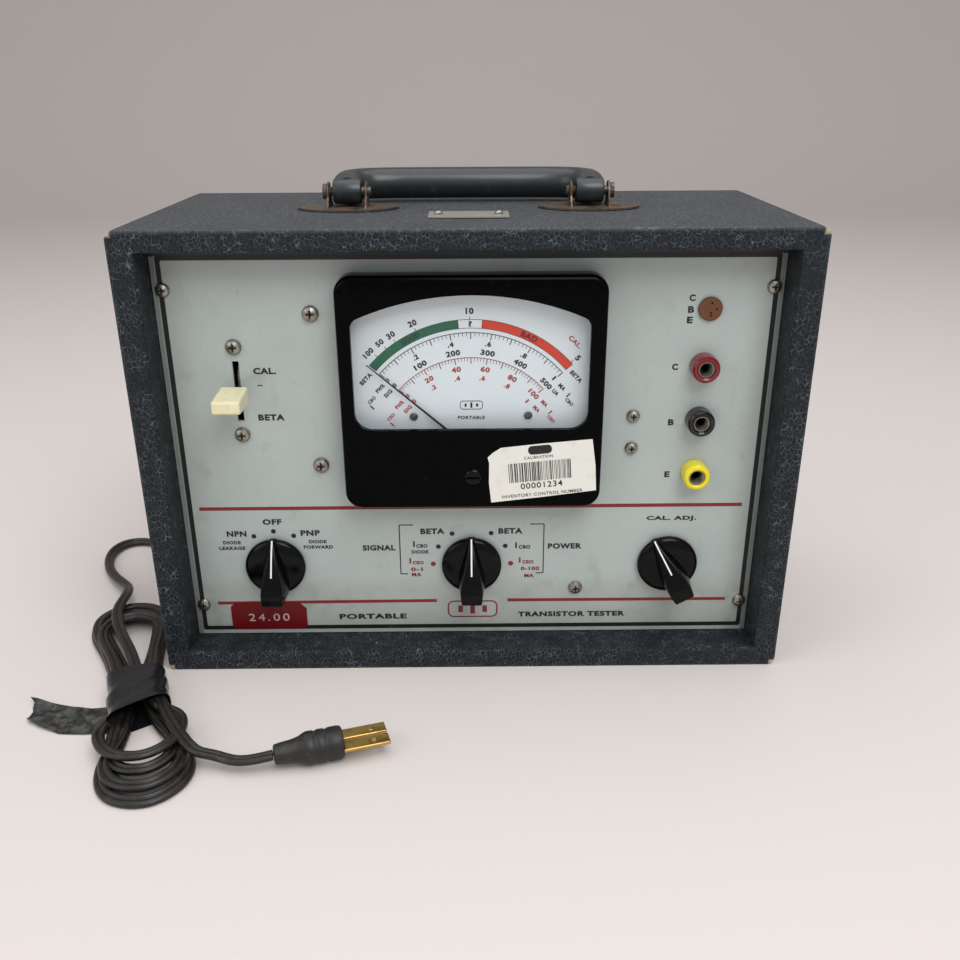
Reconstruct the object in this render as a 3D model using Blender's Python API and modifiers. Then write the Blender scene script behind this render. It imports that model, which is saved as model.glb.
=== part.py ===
"""Bench transistor tester in a covered carrying case, built as separate named sub-parts.

Metres, +Z up. The origin is on the surface the case stands on, under the middle of its outer box,
and the control panel faces -Y.
"""

import math

import bmesh
import bpy
from mathutils import Matrix, Vector

GAP = 0.0003

# Case and panel
CASE_WIDTH = 0.2868
CASE_HEIGHT = 0.2032
CASE_DEPTH = 0.1345
CASE_RIM = 0.0092
CASE_SIDE_RIM = 0.0106
CASE_CORNER = 0.0036
CASE_EDGE = 0.0014
CASE_BACK_WALL = 0.009
PANEL_RECESS = 0.017
PANEL_THICKNESS = 0.0016
LEVER_REACH = 0.007
FRONT = (LEVER_REACH - CASE_DEPTH) / 2
BACK = FRONT + CASE_DEPTH
PANEL_FACE = FRONT + PANEL_RECESS
PANEL_REAR = PANEL_FACE + PANEL_THICKNESS

# Places on the panel, as (x, z)
CORNER_SCREWS = [(-0.1283, 0.1764), (0.1283, 0.1764), (-0.1283, 0.0256), (0.1283, 0.0256)]
TRANSFORMER_SCREWS = [(-0.0673, 0.1661), (-0.0673, 0.0972)]
LEVER_SCREWS = [(-0.10125, 0.1519), (-0.10125, 0.1120)]
STRIP_SCREWS = [(0.0721, 0.1194), (0.0721, 0.1043)]
CAPACITOR_SCREW = (0.0493, 0.0334)
KNOB_X = [-0.0920, 0.0, 0.0920]
KNOB_Z = 0.0466
JACKS = [("red", 0.1422), ("black", 0.1177), ("yellow", 0.0924)]
JACK_X = 0.1012
SOCKET_AT = (0.1020, 0.1672)
LEVER_X = -0.10125
LEVER_Z = 0.1319
SLOT_HEIGHT = 0.0272
SLOT_WIDTH = 0.0029

# Meter
METER_CENTRE = (0.0009, 0.1322)
METER_WIDTH = 0.1131
METER_HEIGHT = 0.1034
METER_PROUD = 0.0125
METER_WALL = 0.0025
WINDOW_SIDE = 0.0500
WINDOW_TOP = 0.1760
WINDOW_SHOULDER = 0.1652
WINDOW_BOTTOM = 0.1176
WINDOW_UPPER_CORNER = 0.0050
WINDOW_LOWER_CORNER = 0.0075
PIVOT = (0.0005, 0.1062)
POINTER_REST = math.radians(-49.0)
ADJUSTER_AT = (0.0010, 0.0955)

# Lever, knobs and handle
LEVER_PIVOT_DEPTH = 0.026
KNOB_RADIUS = 0.014
CAL_KNOB_REST = math.radians(-29.0)
HANDLE_PIN_Z = CASE_HEIGHT + 0.0076
HANDLE_PIN_Y = BACK - CASE_DEPTH / 2 - 0.0020
EYE_X = 0.0546
EYE_WIDTH = 0.0126
EYE_RADIUS = 0.00545
GRIP_RADIUS = 0.0071
GRIP_RISE = 0.0009
PIN_RADIUS = 0.0020
PIN_BORE = 0.0024
GRIP_REACH = 0.0285

# Mains lead
LEAD_WIDTH = 0.0052
RELIEF_X = -0.100
RELIEF_Z = 0.030
RELIEF_LENGTH = 0.024
HANK_CENTRE = (-0.1505, FRONT - 0.0230)
HANK_LENGTH = 0.166
HANK_THICKNESS = 0.0137
HANK_TURN = math.radians(20.5)
PLUG_AT = (-0.0800, FRONT - 0.0715, 0.0072)
PLUG_TURN = math.radians(17.0)

ROUND_STEPS = 24

parts = bpy.data.collections.new("transistor_tester")
cutters = bpy.data.collections.new("cutters")


def clear_scene():
    """Remove whatever the scene holds."""
    for obj in list(bpy.data.objects):
        bpy.data.objects.remove(obj, do_unlink=True)
    bpy.context.scene.collection.children.link(parts)
    bpy.context.scene.collection.children.link(cutters)


def material(name, colour, roughness, metallic=0.0):
    """A plain Principled material."""
    made = bpy.data.materials.new(name)
    made.use_nodes = True
    shader = made.node_tree.nodes["Principled BSDF"]
    shader.inputs["Base Color"].default_value = (*colour, 1.0)
    shader.inputs["Roughness"].default_value = roughness
    shader.inputs["Metallic"].default_value = metallic
    return made


def add(name, data, finish=None, location=(0, 0, 0), rotation=(0, 0, 0)):
    """Put mesh or curve data into the scene as one named part, or as a cutter without a finish."""
    obj = bpy.data.objects.new(name, data)
    obj.location = location
    obj.rotation_euler = rotation
    if finish is None:
        cutters.objects.link(obj)
        obj.hide_render = True
        obj.display_type = "WIRE"
    else:
        parts.objects.link(obj)
        data.materials.append(finish)
    return obj


def facing_front(y):
    """Rotation that turns local +Z to the panel's outward side, with the depth it starts from."""
    return {"location": (0, y, 0), "rotation": (math.pi / 2, 0, 0)}


def shade(mesh, angle=35):
    """Smooth shading with sharp corners kept."""
    mesh.shade_smooth()
    mesh.set_sharp_from_angle(angle=math.radians(angle))


def cube_mesh(name, size, centre=(0, 0, 0), bevel=0.0, segments=2):
    """A block of the given size around its centre, with rounded edges."""
    bm = bmesh.new()
    bmesh.ops.create_cube(bm, size=1.0)
    bmesh.ops.scale(bm, vec=size, verts=bm.verts)
    if bevel > 0:
        bmesh.ops.bevel(bm, geom=bm.edges[:], offset=bevel, segments=segments, affect="EDGES", profile=0.5)
    bmesh.ops.translate(bm, vec=centre, verts=bm.verts)
    mesh = bpy.data.meshes.new(name)
    bm.to_mesh(mesh)
    bm.free()
    shade(mesh)
    return mesh


def rods_mesh(name, rods, steps=ROUND_STEPS):
    """Round bars in one mesh: each rod is (centre, axis, radius, length)."""
    bm = bmesh.new()
    for centre, axis, radius, length in rods:
        made = bmesh.ops.create_cone(
            bm, cap_ends=True, segments=steps, radius1=radius, radius2=radius, depth=length)
        turn = Vector((0, 0, 1)).rotation_difference(Vector(axis)).to_matrix()
        bmesh.ops.rotate(bm, verts=made["verts"], cent=(0, 0, 0), matrix=turn)
        bmesh.ops.translate(bm, verts=made["verts"], vec=centre)
    mesh = bpy.data.meshes.new(name)
    bm.to_mesh(mesh)
    bm.free()
    shade(mesh)
    return mesh


def turned(name, profile, finish, location, rotation=(math.pi / 2, 0, 0), steps=ROUND_STEPS, ring=False):
    """A turned part: the profile's (radius, height) points run down its outer side."""
    mesh = bpy.data.meshes.new(name)
    points = [(radius, 0, height) for radius, height in profile]
    edges = [(i, i + 1) for i in range(len(points) - 1)]
    if ring:
        edges.append((len(points) - 1, 0))
    mesh.from_pydata(points, edges, [])
    obj = add(name, mesh, finish, location, rotation)
    screw = obj.modifiers.new("turn", "SCREW")
    screw.steps = steps
    screw.render_steps = steps
    screw.use_merge_vertices = True
    screw.merge_threshold = 0.00005
    screw.use_smooth_shade = True
    return obj


def flat_mesh(name, outline, thickness):
    """A flat outline given thickness, centred on its own plane."""
    curve = bpy.data.curves.new(name, "CURVE")
    curve.dimensions = "2D"
    curve.fill_mode = "BOTH"
    curve.extrude = thickness / 2
    spline = curve.splines.new("POLY")
    spline.points.add(len(outline) - 1)
    for point, (x, y) in zip(spline.points, outline):
        point.co = (x, y, 0, 1)
    spline.use_cyclic_u = True
    return curve_to_mesh(name, curve)


def curve_to_mesh(name, curve):
    """Turn a curve into a closed mesh with its caps welded on."""
    holder = bpy.data.objects.new(name, curve)
    bpy.context.scene.collection.objects.link(holder)
    bpy.context.view_layer.update()
    graph = bpy.context.evaluated_depsgraph_get()
    mesh = bpy.data.meshes.new_from_object(holder.evaluated_get(graph))
    bpy.data.objects.remove(holder)
    bm = bmesh.new()
    bm.from_mesh(mesh)
    bmesh.ops.remove_doubles(bm, verts=bm.verts, dist=0.00002)
    bmesh.ops.recalc_face_normals(bm, faces=bm.faces)
    bm.to_mesh(mesh)
    bm.free()
    mesh.name = name
    shade(mesh)
    return mesh


def tube_curve(name, points, radius, resolution=2):
    """A round tube along a list of points, with filled ends."""
    curve = bpy.data.curves.new(name, "CURVE")
    curve.dimensions = "3D"
    curve.bevel_depth = radius
    curve.bevel_resolution = resolution
    curve.use_fill_caps = True
    spline = curve.splines.new("POLY")
    spline.points.add(len(points) - 1)
    for point, co in zip(spline.points, points):
        point.co = (*co, 1)
    return curve


def combine(obj, other, operation):
    """Cut or join with another object."""
    step = obj.modifiers.new(operation.lower(), "BOOLEAN")
    step.operation = operation
    step.object = other
    step.solver = "EXACT"


def drill(obj, holes, y, length, radius, steps=16):
    """Drill round holes through a part along Y at (x, z) places."""
    rods = [((x, y, z), (0, 1, 0), radius, length) for x, z in holes]
    combine(obj, add(obj.name + "_drill", rods_mesh(obj.name + "_drill", rods, steps)), "DIFFERENCE")


def rounded_box_outline(width, height, radius, centre=(0, 0), steps=4):
    """Corner-rounded rectangle, anticlockwise."""
    outline = []
    for sx, sy, start in ((1, 1, 0), (-1, 1, 90), (-1, -1, 180), (1, -1, 270)):
        cx = centre[0] + sx * (width / 2 - radius)
        cy = centre[1] + sy * (height / 2 - radius)
        for i in range(steps + 1):
            angle = math.radians(start + 90 * i / steps)
            outline.append((cx + radius * math.cos(angle), cy + radius * math.sin(angle)))
    return outline


def oval_outline(half_x, half_y, count=28):
    """An ellipse as a list of points."""
    return [(half_x * math.cos(2 * math.pi * i / count), half_y * math.sin(2 * math.pi * i / count))
            for i in range(count)]


def smooth_route(points, spacing):
    """Points at an even spacing on a smooth curve that passes through the route's own points."""
    route = [Vector(p) for p in points]
    ends = [2 * route[0] - route[1]] + route + [2 * route[-1] - route[-2]]
    dense = []
    for before, start, end, after in zip(ends, ends[1:], ends[2:], ends[3:]):
        for i in range(16):
            t = i / 16
            bend = 2 * before - 5 * start + 4 * end - after
            twist = 3 * start - before - 3 * end + after
            dense.append(0.5 * (2 * start + (end - before) * t + bend * t ** 2 + twist * t ** 3))
    dense.append(route[-1])
    lengths = [0.0]
    for a, b in zip(dense, dense[1:]):
        lengths.append(lengths[-1] + (b - a).length)
    count = max(2, round(lengths[-1] / spacing))
    result = []
    at = 0
    for i in range(count + 1):
        target = lengths[-1] * i / count
        while at < len(lengths) - 2 and lengths[at + 1] < target:
            at += 1
        share = (target - lengths[at]) / max(lengths[at + 1] - lengths[at], 1e-9)
        result.append(dense[at].lerp(dense[at + 1], share))
    return result


def make_finishes():
    """The part's finishes."""
    return {
        "covering": material("covering", (0.026, 0.037, 0.050), 0.55),
        "wood": material("wood", (0.42, 0.27, 0.14), 0.7),
        "panel": material("panel", (0.42, 0.45, 0.43), 0.45),
        "nickel": material("nickel", (0.62, 0.60, 0.55), 0.3, 1.0),
        "bakelite": material("bakelite", (0.008, 0.008, 0.009), 0.15),
        "glass": material("glass", (0.9, 0.95, 0.95), 0.05),
        "dial": material("dial", (0.78, 0.83, 0.84), 0.5),
        "steel": material("steel", (0.45, 0.45, 0.44), 0.4, 1.0),
        "ivory": material("ivory", (0.80, 0.76, 0.45), 0.4),
        "socket_brown": material("socket_brown", (0.20, 0.075, 0.018), 0.5),
        "jack_red": material("jack_red", (0.20, 0.012, 0.012), 0.2),
        "jack_black": material("jack_black", (0.010, 0.012, 0.012), 0.2),
        "jack_yellow": material("jack_yellow", (0.85, 0.75, 0.02), 0.3),
        "grip": material("grip", (0.035, 0.055, 0.058), 0.35),
        "rusty_steel": material("rusty_steel", (0.22, 0.15, 0.11), 0.65, 0.6),
        "aluminium": material("aluminium", (0.6, 0.6, 0.6), 0.4, 1.0),
        "board": material("board", (0.30, 0.17, 0.06), 0.6),
        "winding": material("winding", (0.20, 0.10, 0.04), 0.6),
        "cord": material("cord", (0.022, 0.019, 0.016), 0.5),
    }


# Case


def hollow_mesh(name, width, height, depth, lip):
    """Block for hollowing a box from its front, widening at the mouth to leave a rounded lip."""
    cut = lip * (1 - math.sqrt(0.5))
    sections = [(-lip, lip), (0, lip), (cut, cut), (lip, 0), (depth, 0)]
    bm = bmesh.new()
    rings = []
    for y, grow in sections:
        half_x = width / 2 + grow
        half_z = height / 2 + grow
        corners = [(-half_x, -half_z), (half_x, -half_z), (half_x, half_z), (-half_x, half_z)]
        rings.append([bm.verts.new((x, y, z)) for x, z in corners])
    for first, second in zip(rings, rings[1:]):
        for i in range(4):
            bm.faces.new((first[i], first[(i + 1) % 4], second[(i + 1) % 4], second[i]))
    bm.faces.new(rings[0])
    bm.faces.new(rings[-1])
    bmesh.ops.recalc_face_normals(bm, faces=bm.faces)
    mesh = bpy.data.meshes.new(name)
    bm.to_mesh(mesh)
    bm.free()
    return mesh


def make_case(finish):
    """Covered wooden box, open at the front, with a drilled back for the lead."""
    outline = rounded_box_outline(CASE_WIDTH, CASE_HEIGHT, CASE_CORNER, (0, CASE_HEIGHT / 2), 3)
    case = add("case_shell", flat_mesh("case_shell", outline, CASE_DEPTH), finish["covering"],
               **facing_front(FRONT + CASE_DEPTH / 2))
    edge = case.modifiers.new("edge", "BEVEL")
    edge.width = CASE_EDGE
    edge.segments = 2
    edge.limit_method = "ANGLE"
    edge.angle_limit = math.radians(60)
    hollow = hollow_mesh("case_hollow", CASE_WIDTH - 2 * CASE_SIDE_RIM, CASE_HEIGHT - 2 * CASE_RIM,
                         CASE_DEPTH - CASE_BACK_WALL, CASE_EDGE)
    combine(case, add("case_hollow", hollow, None, (0, FRONT, CASE_HEIGHT / 2)), "DIFFERENCE")
    drill(case, [(RELIEF_X, RELIEF_Z)], BACK, 0.03, 0.0056, 20)


def make_panel(finish):
    """Front panel with every hole for what is mounted on it, and the wooden cleats behind it."""
    width = CASE_WIDTH - 2 * CASE_SIDE_RIM - 2 * GAP
    height = CASE_HEIGHT - 2 * CASE_RIM - 2 * GAP
    panel = add("front_panel", cube_mesh("front_panel", (width, PANEL_THICKNESS, height)), finish["panel"],
                (0, PANEL_FACE + PANEL_THICKNESS / 2, CASE_HEIGHT / 2))
    middle = PANEL_FACE + PANEL_THICKNESS / 2
    through = 0.01
    rods = []
    small = CORNER_SCREWS + TRANSFORMER_SCREWS + LEVER_SCREWS + STRIP_SCREWS + [CAPACITOR_SCREW]
    for x, z in small:
        rods.append(((x, middle, z), (0, 1, 0), 0.0021, through))
    for x in KNOB_X:
        rods.append(((x, middle, KNOB_Z), (0, 1, 0), 0.0051, through))
    for _, z in JACKS:
        rods.append(((JACK_X, middle, z), (0, 1, 0), 0.0046, through))
    rods.append(((SOCKET_AT[0], middle, SOCKET_AT[1]), (0, 1, 0), 0.0046, through))
    combine(panel, add("panel_holes", rods_mesh("panel_holes", rods, 16)), "DIFFERENCE")
    barrel = [((PIVOT[0], middle, METER_CENTRE[1]), (0, 1, 0), 0.0325, through)]
    combine(panel, add("panel_meter_hole", rods_mesh("panel_meter_hole", barrel, 32)), "DIFFERENCE")
    slot = cube_mesh("panel_slot", (SLOT_WIDTH, through, SLOT_HEIGHT), (LEVER_X, middle, LEVER_Z))
    combine(panel, add("panel_slot", slot), "DIFFERENCE")

    thickness = 0.011
    depth = 0.012
    for side, sign in (("left", -1), ("right", 1)):
        x = sign * (CASE_WIDTH / 2 - CASE_SIDE_RIM - GAP - thickness / 2)
        cleat = add("panel_cleat_" + side, cube_mesh("cleat", (thickness, depth, height)), finish["wood"],
                    (x, PANEL_REAR + GAP + depth / 2, CASE_HEIGHT / 2))
        holes = [place for place in CORNER_SCREWS if place[0] * sign > 0]
        drill(cleat, holes, PANEL_REAR, 0.022, 0.0019, 12)


def screw_mesh(head_radius, shank_radius, length):
    """Pan-head screw with a crossed recess, its head's seat at local z = 0."""
    head_height = head_radius * 0.62
    profile = [(0.0, head_height), (head_radius * 0.45, head_height * 0.95),
               (head_radius * 0.82, head_height * 0.66), (head_radius, head_height * 0.22),
               (head_radius, 0.0), (shank_radius, 0.0), (shank_radius, -length), (0.0, -length)]
    obj = turned("screw_blank", profile, None, (0, 0, 0), (0, 0, 0), 18)
    arm = head_radius * 0.50
    slot = head_radius * 0.13
    quarter = [(arm, slot * 0.7), (slot * 1.15, slot * 1.15), (slot * 0.7, arm)]
    outline = []
    for turn in range(4):
        for x, y in quarter:
            for _ in range(turn):
                x, y = -y, x
            outline.append((x, y))
    cross = flat_mesh("recess", outline, head_height)
    cross.transform(Matrix.Translation((0, 0, head_height * 0.98)))
    cutter = add("recess", cross)
    combine(obj, cutter, "DIFFERENCE")
    bpy.context.view_layer.update()
    graph = bpy.context.evaluated_depsgraph_get()
    mesh = bpy.data.meshes.new_from_object(obj.evaluated_get(graph))
    bpy.data.objects.remove(obj)
    bpy.data.objects.remove(cutter)
    return mesh


def make_screws(finish):
    """Every screw that shows on the panel, each its own part."""
    groups = [
        ("panel_screw", CORNER_SCREWS, 0.0031, 0.0095),
        ("transformer_screw", TRANSFORMER_SCREWS, 0.0036, 0.0065),
        ("lever_frame_screw", LEVER_SCREWS, 0.0035, 0.0055),
        ("terminal_strip_screw", STRIP_SCREWS, 0.0030, 0.0060),
        ("capacitor_screw", [CAPACITOR_SCREW], 0.0033, 0.0060),
    ]
    for name, places, head_radius, length in groups:
        mesh = screw_mesh(head_radius, 0.0016, length)
        mesh.materials.append(finish["nickel"])
        for number, (x, z) in enumerate(places, 1):
            label = name if len(places) == 1 else f"{name}_{number}"
            obj = bpy.data.objects.new(label, mesh)
            obj.location = (x, PANEL_FACE - GAP, z)
            obj.rotation_euler = (math.pi / 2, 0, 0)
            parts.objects.link(obj)


# Meter


def window_outline(grow=0.0):
    """Meter window: round lower corners, straight sides and an arched top with rounded shoulders."""
    side = WINDOW_SIDE + grow
    bottom = WINDOW_BOTTOM - grow
    rise = WINDOW_TOP + grow - WINDOW_SHOULDER
    arch = (side ** 2 + rise ** 2) / (2 * rise)
    arch_z = WINDOW_SHOULDER + rise - arch
    upper = WINDOW_UPPER_CORNER
    lower = WINDOW_LOWER_CORNER
    upper_x = side - upper
    upper_z = arch_z + math.sqrt((arch - upper) ** 2 - upper_x ** 2)
    meet = math.degrees(math.atan2(upper_z - arch_z, upper_x))
    lower_x = side - lower
    lower_z = bottom + lower
    arcs = [  # centre x, centre z, radius, first angle, last angle, steps
        (upper_x, upper_z, upper, 0, meet, 4),
        (0, arch_z, arch, meet, 180 - meet, 12),
        (-upper_x, upper_z, upper, 180 - meet, 180, 4),
        (-lower_x, lower_z, lower, 180, 270, 4),
        (lower_x, lower_z, lower, 270, 360, 4),
    ]
    outline = []
    for x, z, radius, first, last, steps in arcs:
        for i in range(steps + 1):
            angle = math.radians(first + (last - first) * i / steps)
            place = Vector((PIVOT[0] + x + radius * math.cos(angle), z + radius * math.sin(angle)))
            if not outline or (place - outline[-1]).length > 1e-6:
                outline.append(place)
    return outline


def make_meter(finish):
    """Meter: cover, lens, scale plate, movement, pointer and zero adjuster."""
    face = PANEL_FACE - METER_PROUD
    depth = METER_PROUD - GAP
    outer = rounded_box_outline(METER_WIDTH, METER_HEIGHT, 0.0075, METER_CENTRE)
    cover = add("meter_cover", flat_mesh("meter_cover", outer, depth), finish["bakelite"],
                **facing_front(face + depth / 2))
    edge = cover.modifiers.new("edge", "BEVEL")
    edge.width = 0.0024
    edge.segments = 3
    edge.limit_method = "ANGLE"
    edge.angle_limit = math.radians(60)
    inner = rounded_box_outline(
        METER_WIDTH - 2 * METER_WALL, METER_HEIGHT - 2 * METER_WALL, 0.005, METER_CENTRE)
    hollow = add("cover_hollow", flat_mesh("cover_hollow", inner, METER_PROUD), None,
                 **facing_front(face + METER_WALL + METER_PROUD / 2))
    combine(cover, hollow, "DIFFERENCE")
    window = flat_mesh("cover_window", window_outline(), 0.01)
    combine(cover, add("cover_window", window, None, **facing_front(face)), "DIFFERENCE")
    drill(cover, [ADJUSTER_AT], face, 0.01, 0.0040, 20)

    lens_thickness = 0.0015
    lens_front = face + METER_WALL + GAP
    add("meter_lens", flat_mesh("meter_lens", window_outline(0.002), lens_thickness), finish["glass"],
        **facing_front(lens_front + lens_thickness / 2))

    plate_front = PANEL_FACE - 0.0040
    plate_thickness = 0.0008
    plate_outline = rounded_box_outline(METER_WIDTH - 0.0095, METER_HEIGHT - 0.0085, 0.004, METER_CENTRE, 2)
    plate = add("scale_plate", flat_mesh("scale_plate", plate_outline, plate_thickness), finish["dial"],
                **facing_front(plate_front + plate_thickness / 2))
    scale_screws = [(-0.0247, 0.1213), (0.0253, 0.1215)]
    drill(plate, scale_screws + [PIVOT], plate_front, 0.004, 0.0012, 12)
    for side, (x, z) in zip(("left", "right"), scale_screws):
        turned("scale_screw_" + side,
               [(0, 0.0009), (0.0012, 0.0008), (0.0018, 0.0003), (0.0018, 0), (0.0008, 0), (0.0008, -0.001),
                (0, -0.001)],
               finish["nickel"], (x, plate_front - GAP, z), steps=14)

    barrel = 0.0310
    back = 0.026
    can = turned("meter_movement",
                 [(0, 0.0029), (barrel, 0.0029), (barrel, -0.0176), (barrel - 0.003, -back), (0, -back)],
                 finish["bakelite"], (PIVOT[0], PANEL_FACE, METER_CENTRE[1]), steps=32)
    studs = [((PIVOT[0] + dx, PANEL_FACE + back + 0.0045, METER_CENTRE[1] - 0.004), (0, 1, 0), 0.002, 0.011)
             for dx in (-0.016, 0.016)]
    combine(can, add("meter_studs", rods_mesh("meter_studs", studs, 12)), "UNION")
    drill(can, [PIVOT], PANEL_FACE, 0.012, 0.0015, 12)

    make_pointer(finish)

    thickness = 0.0030
    turned("zero_adjuster",
           [(0, 0.0005), (0.0031, 0.0004), (0.0037, 0), (0.0037, -thickness), (0, -thickness)],
           finish["bakelite"], (ADJUSTER_AT[0], face, ADJUSTER_AT[1]), steps=20)
    slot = cube_mesh("adjuster_slot", (0.0060, 0.0016, 0.0009), (ADJUSTER_AT[0], face, ADJUSTER_AT[1]))
    combine(bpy.data.objects["zero_adjuster"], add("adjuster_slot", slot), "DIFFERENCE")


def make_pointer(finish):
    """Meter pointer: hub on its staff, needle and balance tail, leaning to the scale's left end."""
    at = (PIVOT[0], PANEL_FACE - 0.0046, PIVOT[1])
    pointer = turned("meter_pointer",
                     [(0, 0.0028), (0.0030, 0.0028), (0.0034, 0.0024), (0.0034, 0), (0.0010, 0),
                      (0.0010, -0.0060), (0, -0.0060)],
                     finish["steel"], at, (math.pi / 2, POINTER_REST, 0), 16)
    needle_outline = [(-0.0006, 0.002), (0.0006, 0.002), (0.0002, 0.0592), (-0.0002, 0.0592)]
    needle = flat_mesh("needle", needle_outline, 0.0004)
    tail_outline = [(-0.0012, -0.012), (0.0012, -0.012), (0.0006, -0.002), (-0.0006, -0.002)]
    tail = flat_mesh("tail", tail_outline, 0.0008)
    for name, mesh in (("needle", needle), ("tail", tail)):
        piece = add(name, mesh)
        piece.parent = pointer
        piece.location = (0, 0, 0.0012)
        combine(pointer, piece, "UNION")


# Controls


def make_lever(finish):
    """Slotted frame behind the panel, rocking blade on its pin, and the ivory cap on the blade."""
    pivot_y = PANEL_FACE + LEVER_PIVOT_DEPTH
    sheet = 0.0012
    frame_y = PANEL_REAR + GAP + sheet / 2
    frame = add("lever_frame", cube_mesh("lever_frame", (0.017, sheet, 0.054)), finish["steel"],
                (LEVER_X, frame_y, LEVER_Z))
    cheek_front = frame_y
    cheek_back = pivot_y + 0.006
    for sign in (-1, 1):
        cheek = cube_mesh("cheek", (sheet, cheek_back - cheek_front, 0.016),
                          (LEVER_X + sign * 0.0055, (cheek_back + cheek_front) / 2, LEVER_Z))
        combine(frame, add(f"lever_cheek_{sign + 2}", cheek), "UNION")
    slot = cube_mesh("frame_slot", (0.0036, 0.006, 0.0284), (LEVER_X, frame_y, LEVER_Z))
    combine(frame, add("frame_slot", slot), "DIFFERENCE")
    drill(frame, LEVER_SCREWS, frame_y, 0.006, 0.0020, 12)
    bore = rods_mesh("frame_bore", [((LEVER_X, pivot_y, LEVER_Z), (1, 0, 0), 0.00155, 0.03)], 12)
    combine(frame, add("frame_bore", bore), "DIFFERENCE")

    turned("lever_pin",
           [(0, 0.0078), (0.0024, 0.0078), (0.0024, 0.0066), (0.00125, 0.0066), (0.00125, -0.0075),
            (0, -0.0075)],
           finish["steel"], (LEVER_X, pivot_y, LEVER_Z), (0, math.pi / 2, 0), 12)

    blade_thickness = 0.0011
    sector_radius = 0.0222
    half_angle = math.radians(27)
    neck = 0.0019
    tip = LEVER_PIVOT_DEPTH + 0.0125
    outline = []
    for i in range(7):
        angle = -half_angle + (half_angle - 0.09) * i / 6
        outline.append((sector_radius * math.cos(angle), sector_radius * math.sin(angle)))
    outline += [(tip, -neck), (tip, neck)]
    for i in range(7):
        angle = 0.09 + (half_angle - 0.09) * i / 6
        outline.append((sector_radius * math.cos(angle), sector_radius * math.sin(angle)))
    for i in range(9):
        angle = math.radians(60 + 240 * i / 8)
        outline.append((0.0036 * math.cos(angle), 0.0036 * math.sin(angle)))
    blade_mesh = flat_mesh("lever_blade", outline, blade_thickness)
    blade = add("lever_blade", blade_mesh, finish["nickel"], (LEVER_X, pivot_y, LEVER_Z),
                (math.pi / 2, 0, -math.pi / 2))
    bore = rods_mesh("blade_bore", [((LEVER_X, pivot_y, LEVER_Z), (1, 0, 0), 0.00155, 0.01)], 12)
    combine(blade, add("blade_bore", bore), "DIFFERENCE")

    back = -0.0060
    front = -(PANEL_RECESS + LEVER_REACH)
    width = 0.0120
    bm = bmesh.new()
    bmesh.ops.create_cube(bm, size=1.0)
    for vert in bm.verts:
        at_front = vert.co.y < 0
        height = 0.0056 if at_front else 0.0084
        span = width if at_front else width - 0.0004
        vert.co = (span * (1 if vert.co.x > 0 else -1) / 2, front if at_front else back,
                   height * (1 if vert.co.z > 0 else -1) / 2)
    bmesh.ops.bevel(bm, geom=bm.edges[:], offset=0.0009, segments=2, affect="EDGES", profile=0.5)
    bmesh.ops.recalc_face_normals(bm, faces=bm.faces)
    mesh = bpy.data.meshes.new("lever_cap")
    bm.to_mesh(mesh)
    bm.free()
    shade(mesh)
    pivot = bpy.data.objects.new("lever_axis", None)
    pivot.location = (LEVER_X, pivot_y, LEVER_Z)
    parts.objects.link(pivot)
    cap = add("lever_cap", mesh, finish["ivory"], (0, -LEVER_PIVOT_DEPTH, 0))
    cap.parent = pivot
    socket = cube_mesh("cap_socket", (blade_thickness + 2 * GAP, 0.02, 2 * neck + 2 * GAP),
                       (LEVER_X, PANEL_FACE - 0.0028 - GAP, LEVER_Z))
    combine(cap, add("cap_socket", socket), "DIFFERENCE")


def knob_grip_mesh():
    """Tapered grip: low and narrow at the pointer end, high and square at the tail."""
    sections = [  # along the grip, half width at the base, half width at the crest, crest height
        (0.0147, 0.0018, 0.0006, 0.0046),
        (0.0090, 0.0036, 0.0018, 0.0086),
        (0.0000, 0.0060, 0.0038, 0.0135),
        (-0.0075, 0.0068, 0.0050, 0.0165),
        (-0.0133, 0.0056, 0.0046, 0.0172),
    ]
    base = 0.0012
    bm = bmesh.new()
    rings = []
    for along, low, high, crest in sections:
        corners = [(-low, base), (low, base), (high, crest), (-high, crest)]
        rings.append([bm.verts.new((x, along, z)) for x, z in corners])
    for first, second in zip(rings, rings[1:]):
        for i in range(4):
            bm.faces.new((first[i], first[(i + 1) % 4], second[(i + 1) % 4], second[i]))
    bm.faces.new(rings[0])
    bm.faces.new(rings[-1])
    bmesh.ops.recalc_face_normals(bm, faces=bm.faces)
    bmesh.ops.bevel(bm, geom=bm.edges[:], offset=0.0004, segments=1, affect="EDGES", profile=0.5)
    mesh = bpy.data.meshes.new("knob_grip")
    bm.to_mesh(mesh)
    bm.free()
    shade(mesh)
    return mesh


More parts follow.
